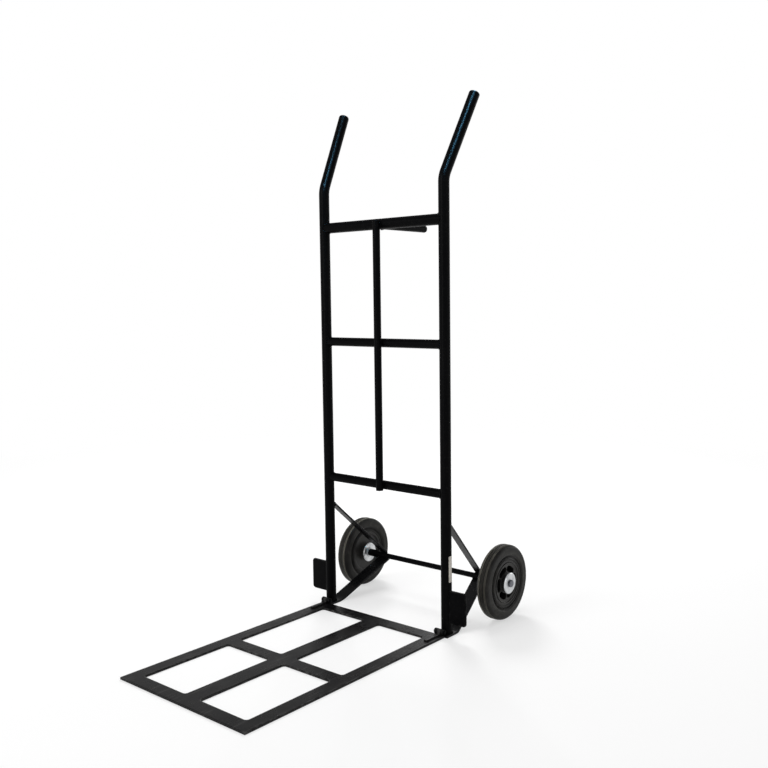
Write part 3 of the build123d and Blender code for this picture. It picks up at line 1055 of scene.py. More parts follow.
@dataclass
class TubeFrame:
    """Uprights with their bent handles, crossbars, centre tube and rest peg."""

    finishes: Finishes
    growers: Growers
    bend_steps: int = 28
    sides: int = 64
    tube_wall: float = 0.002
    thin_wall: float = 0.0016
    mouth_depth: float = 0.03
    mouth_lip: float = 0.0004
    saddle_rows: int = 21
    plug_stem: float = 0.012
    plug_edge: float = 0.0014
    plug_step: float = 0.02
    plug_crown: float = 0.62
    bead_radius: float = 0.0021
    bead_lift: float = 0.0004
    bead_points: int = 72
    saddle_bead: float = 0.62
    saddle_bead_end: float = 0.002
    saddle_bead_points: int = 12

    def __post_init__(self) -> None:
        """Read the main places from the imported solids."""
        mounts = {mount["name"]: mount for mount in frame["record"]["mounts"]}
        grip = mounts["handle_grip_right"]
        self.radius = grip["dims"]["r_mm"] / 1000
        low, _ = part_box("upright_right")
        self.x, self.y, self.foot = low.x + self.radius, low.y + self.radius, low.z
        middle, half = Vector(grip["pos_m"]), grip["dims"]["length_mm"] / 2000
        self.grip_axis = Vector(grip["axis"]).normalized()
        self.grip_start = middle - self.grip_axis * half
        self.grip_end = middle + self.grip_axis * half
        reach = (middle.y - self.y) / self.grip_axis.y
        self.bend_corner = middle - self.grip_axis * reach
        crossbars = ("top_crossbar", "upper_crossbar", "lower_crossbar")
        self.bars = {node: (middle_of(node, Z), half_size(node, Z)) for node in crossbars}
        self.centre_radius = half_size("centre_tube", X)
        low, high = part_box("centre_tube")
        self.centre_y, self.centre_span = low.y + self.centre_radius, (low.z, high.z)
        self.peg_radius = half_size("rest_peg", X)
        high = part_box("rest_peg")[1]
        self.peg_z, self.peg_end = high.z - self.peg_radius, high.y
        self.plug_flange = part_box("peg_plug")[1].y - self.peg_end

    def build(self) -> None:
        """Make every tube and plug."""
        for hand in Hand:
            self._upright(hand)
        for node in self.bars:
            self._crossbar(node)
        self._centre_tube()
        self._rest_peg()

    def _add(self, name: str, shape: Shape, node: str) -> None:
        """Add an enamelled tube that stands for a solid."""
        add_piece(name, shape, self.finishes.enamel, Body.FRAME, node)

    def spine(self, hand: Hand) -> np.ndarray:
        """Middle line of an upright, from its foot to the end of its handle.

        Args:
            hand: Side of the upright.

        Returns:
            Points of the line.
        """
        tangent = (self.grip_start - self.bend_corner).length
        below = self.bend_corner - Vector((0.0, 0.0, tangent))
        turn_angle = math.acos(self.grip_axis.z)
        bend_radius = tangent / math.tan(turn_angle / 2)
        level = Vector((self.grip_axis.x, self.grip_axis.y, 0.0)).normalized()
        points = [Vector((self.x, self.y, self.foot))]
        for angle in np.linspace(0.0, turn_angle, self.bend_steps + 1):
            rise = Vector((0.0, 0.0, bend_radius * math.sin(angle)))
            points.append(below + rise + level * bend_radius * (1 - math.cos(angle)))
        points.append(self.grip_end)
        return np.array([(hand.value * point.x, point.y, point.z) for point in points])

    def _upright(self, hand: Hand) -> None:
        """Bent tube of one side, and the plug in its handle.

        Args:
            hand: Side of the tube.
        """
        spine, coat = self.spine(hand), self.finishes.enamel
        sizes = {"radius": self.radius, "sides": self.sides}
        shape = self.growers.grow(self.growers.tube, path_mesh([spine]), coat, **sizes)
        self._add(hand.piece("upright_tube"), shape, hand.node("upright"))
        end, axis = Vector(spine[-1]), Vector(spine[-1] - spine[-2]).normalized()
        self._plug(hand.piece("handle_cap"), end, axis, self.radius, hand.node("handle_plug"))

    def _plug(self, name: str, end: Vector, axis: Vector, radius: float, node: str) -> None:
        """Domed end plug with a thin flange.

        Args:
            name: Name of the piece.
            end: Middle of the tube's end.
            axis: Direction out of the tube.
            radius: Radius of the tube.
            node: Solid that the plug stands for.
        """
        flange, stem = self.plug_flange, radius - self.tube_wall
        rim = radius - radius * self.plug_step
        profile = round_corners(
            [
                (-self.plug_stem, 0.0, 0.0),
                (-self.plug_stem, stem, 0.001),
                (0.0, stem, 0.0),
                (0.0, rim, 0.0003),
                (flange * 0.8, rim, self.plug_edge),
                (flange, radius * self.plug_crown, radius * 0.3),
                (flange, 0.0, 0.0),
            ]
        )
        points, faces = turn(profile, Vector(), segments=48)
        turned = Vector((1.0, 0.0, 0.0)).rotation_difference(axis).to_matrix()
        points = points @ np.array(turned).T + np.array(end)
        add_piece(name, (points, faces), self.finishes.plug, Body.FRAME, node, sharp=50.0)

    def _crossbar(self, node: str) -> None:
        """Crossbar with ends coped to the uprights.

        Args:
            node: Solid that the crossbar stands for.
        """
        height, radius = self.bars[node]
        across, up = circle_points(self.sides).T * radius
        ends = [(half_chord(self.radius, across * share), share) for share in COPE_SHARES]
        ends.append((2 * self.radius, 1.0))
        rings = []
        for sign, order in ((-1, ends), (1, ends[::-1])):
            for depth, share in order:
                x = sign * (self.x - depth)
                rings.append(points_at(x, self.y + across * share, height + up * share))
        self._add(f"{node}_tube", skin(np.array(rings)), node)

    def _centre_tube(self) -> None:
        """Thin tube, open at both ends, pressed against the front of the crossbars."""
        low, high = self.centre_span
        heights = set()
        for middle, bar in self.bars.values():
            rows = np.linspace(middle - bar, middle + bar, self.saddle_rows)
            heights.update(z for z in rows if low < z < high)
        outer, inner = self.centre_radius, self.centre_radius - self.thin_wall
        floor, lip = inner * COPE_SHARES[0], outer - self.mouth_lip
        deep_low, deep_high = low + self.mouth_depth, high - self.mouth_depth
        levels = [(deep_low, floor), (deep_low, inner), (low, inner), (low, lip)]
        levels += [(z, outer) for z in sorted(heights)]
        levels += [(high, lip), (high, inner), (deep_high, inner), (deep_high, floor)]
        across, deep = circle_points(self.sides).T
        rings = []
        for z, radius in levels:
            y = self.centre_y + deep * radius
            for middle, bar in self.bars.values():
                if abs(z - middle) < bar:
                    face = self.y - half_chord(bar, z - middle) - (outer - radius) / 2
                    y = np.minimum(y, face)
            rings.append(points_at(across * radius, y, z))
        self._add("centre_front_tube", skin(np.array(rings)), "centre_tube")

    def _rest_peg(self) -> None:
        """Peg behind the top crossbar, and its plug."""
        height, bar = self.bars["top_crossbar"]
        across, up = circle_points(self.sides).T * self.peg_radius
        drop = self.peg_z - height
        ends = [(self.y + half_chord(bar, drop + up * share), share) for share in COPE_SHARES]
        ends += [(self.y + 2 * bar, 1.0), (self.peg_end, 1.0)]
        rings = [points_at(across * share, y, self.peg_z + up * share) for y, share in ends]
        self._add("rest_peg_tube", skin(np.array(rings)), "rest_peg")
        end, axis = Vector((0.0, self.peg_end, self.peg_z)), Vector((0.0, 1.0, 0.0))
        self._plug("rest_peg_cap", end, axis, self.peg_radius, "peg_plug")

    def welds(self) -> list[np.ndarray]:
        """Paths of the beads that run round the joints of the tubes.

        Returns:
            The closed paths.
        """
        across, up = circle_points(self.bead_points).T
        paths = []
        for height, bar in self.bars.values():
            depth = half_chord(self.radius + self.bead_lift, across * bar)
            for hand in Hand:
                x = hand.value * (self.x - depth)
                paths.append(points_at(x, self.y + across * bar, height + up * bar))
        height, bar = self.bars["top_crossbar"]
        z = self.peg_z + up * self.peg_radius
        paths.append(points_at(across * self.peg_radius, self.y + half_chord(bar, z - height), z))
        for hand in Hand:
            x = hand.value * self.x + across * self.radius
            foot = self.foot + 2 * self.bead_lift
            paths.append(points_at(x, self.y + up * self.radius, foot))
        return paths

    def saddle_welds(self) -> list[np.ndarray]:
        """Paths of the beads along both flanks of the centre tube.

        Returns:
            The open paths.
        """
        paths = []
        for middle, bar in self.bars.values():
            reach = bar * self.saddle_bead
            top = min(middle + reach, self.centre_span[1] - self.saddle_bead_end)
            z = np.linspace(middle - reach, top, self.saddle_bead_points)
            y = self.y - half_chord(bar, z - middle)
            gap = np.clip(y - self.centre_y, -self.centre_radius, self.centre_radius)
            x = half_chord(self.centre_radius, gap)
            paths += [points_at(sign * x, y, z) for sign in (-1, 1)]
        return paths


@dataclass
class AxleBracket:
    """Flat-bar braces and wheel guard of one side."""

    finishes: Finishes
    tubes: TubeFrame
    hand: Hand
    edge: float = 0.0009
    edge_steps: int = 3
    least_edge: float = 0.1
    weld_gap: float = 0.0003
    lower_thickness: float = 0.006
    upper_thickness: float = 0.005
    upper_half_width: float = 0.011
    upper_height: float = 0.3
    root_length: float = 0.012
    foot_back: float = 0.027
    foot_radius: float = 0.05
    foot_points: int = 13
    guard_corner: float = 0.009
    bead_points: int = 9
    seat_bead: Pair = (0.8, 0.62)
    seat_bead_width: float = 0.9
    guard_bead_end: float = 0.004
    guard_bead_points: int = 24

    def __post_init__(self) -> None:
        """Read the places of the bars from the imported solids."""
        low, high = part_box("lower_brace_right")
        self.front_y, self.end_y = low.y, high.y
        self.lower_half_width = high.x - self.tubes.x
        self.tail_x = low.x + self.lower_half_width
        self.axle_y, self.axle_z = middle_of("axle", Y), middle_of("axle", Z)
        self.axle_radius = half_size("axle", Y)
        self.bend_y = self.tubes.y + self.foot_back
        seat = self.axle_radius + self.weld_gap
        rise, run = self.axle_z - self.lower_thickness / 2, self.axle_y - self.bend_y
        lean = math.asin((seat + self.lower_thickness / 2) / math.hypot(rise, run))
        self.lower_slope = math.atan2(rise, run) - lean
        drop, run = self.upper_height - self.axle_z, self.axle_y - self.tubes.y
        lean = math.asin((seat + self.upper_thickness / 2) / math.hypot(drop, run))
        self.upper_slope = lean - math.atan2(drop, run)
        angles = np.linspace(QUARTER_TURN, 0.0, self.edge_steps + 1)
        self.end_runs = self.edge * (1 - np.sin(angles))

    def build(self) -> None:
        """Make the braces and the guard."""
        self._lower_brace()
        self._upper_brace()
        self._guard()

    def splay(self, root_y: float) -> Callable[[np.ndarray], np.ndarray]:
        """Middle of a bar across the truck as a function of Y, straight up to the root's Y."""
        slant = (self.tail_x - self.tubes.x) / (self.end_y - root_y)
        return lambda y: self.hand.value * (self.tubes.x + slant * np.maximum(y - root_y, 0.0))

    def _bar(
        self,
        stations: list[tuple[float, float, float, float, bool]],
        half_width: float,
        thickness: float,
        middle: Callable[[np.ndarray], np.ndarray],
    ) -> np.ndarray:
        """Rings of a flat bar bent in side view and splayed in plan.

        Args:
            stations: Y, Z, slope and inset at each ring, and whether the ring is cut upright.
            half_width: Half of the bar's width.
            thickness: Thickness of the bar.
            middle: Middle of the bar across the truck.

        Returns:
            The rings.
        """
        rings = []
        for y, z, slope, inset, upright in stations:
            wide, high = half_width - inset, thickness / 2 - inset
            radius = max(self.edge - inset, self.edge * self.least_edge)
            corners = [(wide, -high), (wide, high), (-wide, high), (-wide, -high)]
            section = round_corners([(*corner, radius) for corner in corners], self.edge_steps)
            side, up = section.T
            shift = up * math.tan(slope) if upright else 0.0
            run = y - up * math.sin(slope) + shift * math.cos(slope)
            rise = z + up * math.cos(slope) + shift * math.sin(slope)
            rings.append(points_at(middle(run) + side, run, rise))
        return np.array(rings)

    def _add_bar(self, name: str, rings: np.ndarray, node: str) -> None:
        """Add this side's brace, which stands for a solid."""
        name, node = self.hand.piece(name), self.hand.node(node)
        add_piece(name, skin(rings), self.finishes.bar_enamel, Body.FRAME, node, even=True)

    def _lower_brace(self) -> None:
        """Bar from the foot under the upright to below the axle."""
        half, slope, edge = self.lower_thickness / 2, self.lower_slope, self.edge
        stations = [(self.front_y + run, half, 0.0, edge - run, True) for run in self.end_runs]
        bend_start = self.bend_y - self.foot_radius * math.tan(slope / 2)
        for angle in np.linspace(0.0, slope, self.foot_points):
            y = bend_start + self.foot_radius * math.sin(angle)
            z = half + self.foot_radius * (1 - math.cos(angle))
            stations.append((y, z, angle, 0.0, False))
        for run in self.end_runs[::-1]:
            y = self.end_y - run
            z = half + (y - self.bend_y) * math.tan(slope)
            stations.append((y, z, slope, edge - run, True))
        middle = self.splay(self.bend_y)
        rings = self._bar(stations, self.lower_half_width, self.lower_thickness, middle)
        rings[..., Z] = np.maximum(rings[..., Z], 0.0)
        self._add_bar("axle_foot_bar", rings, "lower_brace")

    def upper_z(self, y: object) -> object:
        """Height of the upper bar's middle line."""
        return self.upper_height + (y - self.tubes.y) * math.tan(self.upper_slope)

    def _upper_brace(self) -> None:
        """Bar from the back of the upright to above the axle."""
        slope, tubes = self.upper_slope, self.tubes
        start = tubes.y + tubes.radius
        spots = [(start, 0.0), (start + self.root_length, 0.0)]
        spots += [(self.end_y - run, self.edge - run) for run in self.end_runs[::-1]]
        stations = [(y, self.upper_z(y), slope, inset, True) for y, inset in spots]
        middle = self.splay(tubes.y)
        rings = self._bar(stations, self.upper_half_width, self.upper_thickness, middle)
        root = rings[0]
        aside = root[:, X] - self.hand.value * tubes.x
        reach = tubes.y + half_chord(tubes.radius, aside) - root[:, Y]
        root[:, Y] += reach
        root[:, Z] += reach * math.tan(slope)
        self._add_bar("axle_stay", rings, "upper_brace")

    def _guard(self) -> None:
        """Upright plate in front of the tyre."""
        node, sign, corner = self.hand.node("wheel_guard"), self.hand.value, self.guard_corner
        low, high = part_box(node)
        near, far = sorted((abs(low.x), abs(high.x)))
        corners = [(near, low.z, 0.0), (far, low.z, corner), (far, high.z, corner)]
        outline = round_corners([*corners, (near, high.z, 0.0)], steps=6)
        place = Matrix(((sign, 0, 0, 0), (0, 0, -1, high.y), (0, 1, 0, 0), (0, 0, 0, 1)))
        plate = rounded_plate([outline], high.y - low.y, self.edge, place)
        name, coat = self.hand.piece("guard_plate"), self.finishes.enamel
        add_piece(name, plate, coat, Body.FRAME, node, even=True)

    def welds(self) -> list[np.ndarray]:
        """Paths of the beads along the bars and the plate.

        Returns:
            The open paths.
        """
        tubes, sign, paths = self.tubes, self.hand.value, []
        aside = np.linspace(-self.upper_half_width, self.upper_half_width, self.bead_points)
        reach = tubes.y + half_chord(tubes.radius, aside)
        lift = self.upper_thickness / 2 / math.cos(self.upper_slope)
        x = self.splay(tubes.y)(reach) + aside
        for side in (-1, 1):
            paths.append(points_at(x, reach, self.upper_z(reach) + side * lift))
        away, along = (self.axle_radius * share for share in self.seat_bead)
        for slope, half, under in (
            (self.lower_slope, self.lower_half_width, -1),
            (self.upper_slope, self.upper_half_width, 1),
        ):
            across = np.linspace(-half, half, self.bead_points) * self.seat_bead_width
            for side in (-1, 1):
                y = self.axle_y - under * away * math.sin(slope) + side * along * math.cos(slope)
                z = self.axle_z + under * away * math.cos(slope) + side * along * math.sin(slope)
                paths.append(points_at(sign * self.tail_x + across, y, z))
        low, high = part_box(self.hand.node("wheel_guard"))
        ends = (low.z + self.guard_bead_end, high.z - self.guard_bead_end)
        for y in (low.y, high.y):
            x = sign * (tubes.x + half_chord(tubes.radius, y - tubes.y))
            paths.append(points_at(x, y, np.linspace(*ends, self.guard_bead_points)))
        return paths


@dataclass
class ToeFrame:
    """Flat bars of the folding toe frame."""

    finishes: Finishes
    edge: float = 0.0008
    window_radius: float = 0.008
    cut_margin: float = 0.01
    bars: tuple[str, ...] = (
        "toe_side_bar_left",
        "toe_side_bar_right",
        "toe_front_bar",
        "toe_mid_bar",
        "toe_rear_bar",
        "toe_centre_bar_front",
        "toe_centre_bar_rear",
    )

    def _windows(self) -> list[np.ndarray]:
        """Outlines of the four openings.

        Returns:
            The outlines, clockwise.
        """
        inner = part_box("toe_side_bar_right")[0].x
        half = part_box("toe_centre_bar_front")[1].x
        radius, outlines = self.window_radius, []
        for node in ("toe_centre_bar_front", "toe_centre_bar_rear"):
            low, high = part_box(node)
            front, back = low.y - radius, high.y + radius
            for left in (-inner, half):
                right = left + inner - half
                spots = ((left, front), (left, back), (right, back), (right, front))
                outlines.append(round_corners([(*spot, radius) for spot in spots], steps=8))
        return outlines

    def build(self) -> None:
        """Cut one plate with four openings into its welded bars."""
        low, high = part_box("toe_side_bar_left")[0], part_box("toe_side_bar_right")[1]
        outline = [(low.x, low.y), (high.x, low.y), (high.x, high.y), (low.x, high.y)]
        loops, place = [np.array(outline), *self._windows()], Matrix.Translation((0.0, 0.0, low.z))
        coat = self.finishes.toe_enamel
        plate = rounded_plate(loops, high.z - low.z, self.edge, place)
        whole = make_object("toe_plate", plate, coat.material)
        for node in self.bars:
            bar = self._cut(whole, node)
            add_piece(f"{node}_flat", bar, coat, Body.TOE, node, even=True)
        bpy.data.objects.remove(whole)

    def _cut(self, whole: bpy.types.Object, node: str) -> BMesh:
        """Part of the plate inside a bar's box, as a closed shape.

        Args:
            whole: Plate with all openings.
            node: Solid whose box bounds the bar.

        Returns:
            The bar.
        """
        low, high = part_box(node)
        size = high - low + 2 * Vector((0.0, 0.0, self.cut_margin))
        block = bmesh.new()
        place = Matrix.Translation((low + high) / 2) @ Matrix.Diagonal((*size, 1.0))
        bmesh.ops.create_cube(block, size=1.0, matrix=place)
        cutter = make_object("cutter", block, self.finishes.toe_enamel.material)
        modifier = whole.modifiers.new("cut", "BOOLEAN")
        modifier.operation, modifier.solver = "INTERSECT", "EXACT"
        modifier.object = cutter
        result = evaluated_mesh(whole)
        whole.modifiers.remove(modifier)
        bpy.data.objects.remove(cutter)
        bar = bmesh.new()
        bar.from_mesh(result)
        bpy.data.meshes.remove(result)
        return bar


@dataclass
class FoldHinge:
    """Fixed eyes, toe eye with its strap, and pin of one side."""

    finishes: Finishes
    hand: Hand
    eye_length: float = 0.0094
    eye_pitch: float = 0.0098
    eye_radius: float = 0.0075
    eye_band: float = 0.0008
    eye_points: int = 40
    fixed_arc: Pair = (0.0, 255.0)
    strap_arc: Pair = (-80.0, 172.0)
    bore: float = 0.00405
    strap_length: float = 0.062
    strap_thickness: float = 0.004
    gap: float = 0.0001
    pin_radius: float = 0.004
    head_radius: float = 0.0055
    head: float = 0.0025
    head_dome: Pair = (0.25, 0.45)
    edge: float = 0.0005
    bead_share: float = 0.8
    bead_span: Pair = (0.022, 0.058)
    bead_lift: float = 0.0006
    bead_points: int = 16

    def __post_init__(self) -> None:
        """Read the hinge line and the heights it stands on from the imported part."""
        self.line = joint_place("toe_fold")
        self.x = self.hand.value * middle_of("hinge_pin_right", X)
        self.pin_half = half_size("hinge_pin_right", X)
        self.drop = self.line.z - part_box("toe_hinge_eye_right")[0].z

    def build(self) -> None:
        """Make the hinge."""
        self._fixed_eyes()
        self._toe_eye()
        self._pin()

    def _slab(self, outline: np.ndarray, x: float) -> BMesh:
        """Eye of an outline in the plane of the fold, bored for the pin.

        Args:
            outline: Points in Y and Z from the hinge line, counter-clockwise.
            x: Middle of the eye.

        Returns:
            The bored slab.
        """
        loops = [outline, circle_points(self.eye_points)[::-1] * self.bore]
        start, line = x - self.eye_length / 2, self.line
        place = Matrix(((0, 0, 1, start), (1, 0, 0, line.y), (0, 1, 0, line.z), (0, 0, 0, 1)))
        return rounded_plate(loops, self.eye_length, self.edge, place, band=self.eye_band)

    def _arc(self, ends: Pair) -> list[Triple]:
        """Corners along the round of an eye, between two angles in degrees."""
        angles, radius = np.radians(np.linspace(*ends, self.eye_points)), self.eye_radius
        return [(radius * math.cos(angle), radius * math.sin(angle), 0.0) for angle in angles]

    def _fixed_eyes(self) -> None:
        """Two fixed eyes on the foot."""
        foot = [(0.0, -self.drop, 0.0), (self.eye_radius, -self.drop, 0.0)]
        outline = round_corners(self._arc(self.fixed_arc) + foot)
        both, second = (self._slab(outline, self.x + side * self.eye_pitch) for side in (-1, 1))
        other = bpy.data.meshes.new("other_eye")
        second.to_mesh(other)
        second.free()
        both.from_mesh(other)
        bpy.data.meshes.remove(other)
        name, node = self.hand.piece("fixed_eyes"), self.hand.node("hinge_knuckles")
        add_piece(name, both, self.finishes.enamel, Body.FRAME, node, even=True)

    def _toe_eye(self) -> None:
        """Eye between the fixed ones, with a strap along the toe side bar."""
        back, top = -self.gap - self.strap_length, self.strap_thickness - self.drop
        corners = [(back, -self.drop, 0.0004), (-self.gap, -self.drop, 0.0)]
        corners += self._arc(self.strap_arc)
        corners += [(-self.eye_radius - self.gap, top, 0.0016), (back, top, 0.0014)]
        slab = self._slab(round_corners(corners), self.x)
        name, node = self.hand.piece("strap_eye"), self.hand.node("toe_hinge_eye")
        add_piece(name, slab, self.finishes.toe_enamel, Body.TOE, node, even=True)

    def _pin(self) -> None:
        """Headed pin through the eyes."""
        half, inner, (rise, flat) = self.pin_half, self.pin_half - self.head, self.head_dome
        side = [
            (inner, self.pin_radius, 0.0),
            (inner, self.head_radius, 0.0003),
            (half - self.head * rise, self.head_radius, 0.0011),
            (half, self.head_radius * flat, 0.0012),
            (half, 0.0, 0.0),
        ]
        profile = [(-u, radius, corner) for u, radius, corner in side[::-1]] + side
        centre = Vector((self.x, self.line.y, self.line.z))
        shape = turn(round_corners(profile), centre, segments=40)
        name, node = self.hand.piece("headed_pin"), self.hand.node("hinge_pin")
        add_piece(name, shape, self.finishes.enamel, Body.FRAME, node)

    def welds(self) -> list[np.ndarray]:
        """Paths of the beads along the strap.

        Returns:
            The open paths.
        """
        y = self.line.y - self.gap - np.linspace(*self.bead_span, self.bead_points)
        z = self.line.z - self.drop + self.bead_lift
        return [points_at(self.x + side * self.eye_length / 2, y, z) for side in (-1, 1)]


@dataclass
class BlankSticker:
    """Blank pale sticker round the outer side of the right upright."""

    finishes: Finishes
    tubes: TubeFrame
    low: float = 0.142
    high: float = 0.211
    start: float = math.radians(-27)
    end: float = math.radians(20)
    corner: float = 0.002
    corner_points: int = 6
    flat_points: int = 14
    rows: int = 12
    lift: float = 0.00018
    sunk: float = 0.0004

    def build(self) -> None:
        """Make the sticker."""
        tube, corner = self.tubes.radius, self.corner
        width = (self.end - self.start) * tube
        ease = corner * (1 - np.cos(np.linspace(0.0, QUARTER_TURN, self.corner_points)))
        flat = np.linspace(corner, width - corner, self.flat_points)[1:-1]
        rows = np.linspace(0.0, 1.0, self.rows)
        rings = []
        for run in np.concatenate((ease, flat, width - ease[::-1])):
            near = min(run, width - run, corner)
            cut = corner - half_chord(corner, corner - near)
            angle = self.start + run / tube
            heights = self.low + cut + rows * (self.high - self.low - 2 * cut)
            sides = []
            for radius, z in ((tube + self.lift, heights), (tube - self.sunk, heights[::-1])):
                x = self.tubes.x + radius * math.cos(angle)
                sides.append(points_at(x, self.tubes.y + radius * math.sin(angle), z))
            rings.append(np.concatenate(sides))
        add_piece("blank_sticker", skin(np.array(rings)), self.finishes.film, Body.FRAME)


@dataclass
class Wheel:
    """Tyre, spoked centre, bush and hub discs of one side."""

    finishes: Finishes
    growers: Growers
    hand: Hand
    tyre_segments: int = 168
    shoulder: float = 0.0105
    shoulder_points: int = 15
    groove_pitch: float = 0.0092
    groove_width: float = 0.0026
    groove_depth: float = 0.0026
    # dust and painted highlight in the centre, outer and inner grooves; the inner groove is painted lightest
    groove_dust_and_highlight: Triple = (0.25, 0.5, 1.0)
    lip: float = 0.0016
    tyre_soft: float = 0.0004
    panel_inner: float = 0.065
    panel_outer: float = 0.08
    panel_depth: float = 0.002
    ridges: int = 3
    ridge_margin: float = 0.004
    ridge_height: float = 0.0005
    ridge_half: float = 0.001
    # dust and painted highlight on the outer ring of the sidewalls
    wall_dust_and_highlight: float = 0.06
    wall_dust_and_highlight_size: Pair = (0.0022, 0.0008)
    spokes: int = 6
    band: float = 0.006
    band_inset: float = 0.002
    band_softness: float = 2.0
    web_low: float = -0.0105
    web_high: float = 0.0145
    pocket_floor: float = 0.003
    pocket_draft: float = 0.0007
    pocket_core: float = 0.2
    pocket_shade: float = 0.004
    hub_radius: float = 0.02
    root: float = 0.003
    root_fillet: float = 0.999
    rim_soft: float = 0.0008
    opening_half: float = 0.0085
    opening_reach: float = math.radians(15)
    arc_steps: int = 8
    corner_steps: int = 4
    side_steps: int = 6
    edge: float = 0.0011
    edge_points: int = 4
    disc_bore: float = 0.0078
    disc_thickness: float = 0.003
    disc_slope: Pair = (0.0012, 0.003)
    seat_gap: float = 0.0001

    def __post_init__(self) -> None:
        """Read the wheel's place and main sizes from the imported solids."""
        tyre, rim, discs = (self.hand.node(name) for name in ("tyre", "rim", "hub_discs"))
        self.body = Body(self.hand.node("wheel"))
        self.centre = joint_place(f"{self.body.value}_spin")
        self.tyre_radius, self.tyre_half = half_size(tyre, Z), half_size(tyre, X)
        self.rim_radius, self.hub_half = half_size(rim, Z), half_size(rim, X)
        self.disc_radius, self.disc_face = half_size(discs, Z), half_size(discs, X)
        self.bush_radius = half_size(self.hand.node("hub_bush"), Z)
        self.opening_radius = (self.rim_radius - self.band + self.hub_radius) / 2
        self.half_sector = math.pi / self.spokes

    def build(self) -> None:
        """Make the wheel."""
        self._tyre()
        self._rim()
        self._discs()
        dress_node(self.hand.node("hub_bush"), self.finishes.wheel)

    def _add(
        self, name: str, shape: Shape, coat: Coat, node: str, sharp: float = SMOOTH_LIMIT
    ) -> bpy.types.Mesh:
        """Add a piece of this wheel and give back its mesh; name and node are without the side."""
        name, node = self.hand.piece(name), self.hand.node(node)
        return add_piece(name, shape, coat, self.body, node, sharp=sharp).data

    def _tyre(self) -> None:
        """Tyre with its grooves and sidewall ring marked for dust and painted highlight."""
        shape = turn(self._tyre_profile(), self.centre, self.hand.value, self.tyre_segments)
        mesh = self._add("tyre_ring", shape, self.finishes.rubber, "tyre", sharp=48.0)
        # the rub attribute carries dust and painted highlight on the tyre
        self._mark(mesh, "rub", self._dust_and_highlight)

    def _crown(self, u: float) -> float:
        """Radius of the tread at a distance from the middle of the tyre."""
        past = max(abs(u) - (self.tyre_half - self.shoulder), 0.0)
        return self.tyre_radius - self.shoulder + math.sqrt(self.shoulder**2 - past**2)

    def _tyre_profile(self) -> np.ndarray:
        """Closed section of the tyre: ribbed tread, round shoulders and stepped sidewalls.

        Returns:
            Points along the axis and out from it.
        """
        half, soft, crown = self.tyre_half, self.tyre_soft, self._crown
        floor = self.tyre_radius - self.groove_depth
        tread = []
        for middle in (-self.groove_pitch, 0.0, self.groove_pitch):
            low, high = middle - self.groove_width / 2, middle + self.groove_width / 2
            before, after = low - self.lip, high + self.lip
            tread += [(before, crown(before), 0.0), (low, crown(low), soft)]
            tread += [(low + soft, floor, soft), (high - soft, floor, soft)]
            tread += [(high, crown(high), soft), (after, crown(after), 0.0)]
        side = []
        for angle in np.linspace(0.0, QUARTER_TURN, self.shoulder_points):
            u = half - self.shoulder + self.shoulder * math.sin(angle)
            if u > tread[-1][0] + 2 * soft:
                side.append((u, self.tyre_radius - self.shoulder * (1 - math.cos(angle)), 0.0))
        wall, inner, outer = half - self.panel_depth, self.panel_inner, self.panel_outer
        side += [(half, outer - 0.001, 0.0012), (wall, outer - 0.0052, 0.003)]
        for ridge in np.linspace(inner, outer - self.ridge_margin, self.ridges + 2)[1:-1]:
            side.append((wall, ridge + self.ridge_half, soft))
            side.append((wall + self.ridge_height, ridge, soft))
            side.append((wall, ridge - self.ridge_half, soft))
        side += [(wall, inner + 0.0016, 0.001), (half - 0.0006, inner - 0.0004, 0.001)]
        side.append((half - 0.0012, self.rim_radius + self.seat_gap, soft))
        left = [(-u, radius, corner) for u, radius, corner in side[::-1]]
        return round_corners(left + tread + side, steps=3)

    def _outline(self, width: float) -> tuple[np.ndarray, np.ndarray]:
        """Outline of one opening and the matching border of its sector, in the wheel's plane.

        Args:
            width: Half of the opening's width.

        Returns:
            Points of the opening and of the border, in the same order.
        """
        reach, middle, half_sector = self.opening_reach, self.opening_radius, self.half_sector
        inner, outer = self.hub_radius + self.root, self.rim_radius - self.band - self.root
        corner, side = self.corner_steps, self.side_steps
        opening, border = [], []

        def ray(radius: float, angle: float) -> np.ndarray:
            """Point at a radius and an angle."""
            return np.array((radius * math.cos(angle), radius * math.sin(angle)))

        for radius, first, last, sign in (
            (middle + width, outer, inner, 1),
            (middle - width, inner, outer, -1),
        ):
            for share in np.linspace(-1.0, 1.0, self.arc_steps + 1)[:-1]:
                angle = sign * share * reach
                opening.append(ray(radius, angle))
                border.append(ray(first, angle))
            end, start = ray(middle, sign * reach), 0.0 if sign > 0 else math.pi
            for step, swing in enumerate(np.linspace(0.0, math.pi, 2 * corner + side + 1)[:-1]):
                opening.append(end + ray(width, sign * reach + start + swing))
                past = step - corner - side
                if step < corner:
                    place = (first, reach + (half_sector - reach) * step / corner)
                elif past <= 0:
                    place = (first + (last - first) * (step - corner) / side, half_sector)
                else:
                    place = (last, half_sector - (half_sector - reach) * past / corner)
                border.append(ray(place[0], sign * place[1]))
        return np.array(opening), np.array(border)

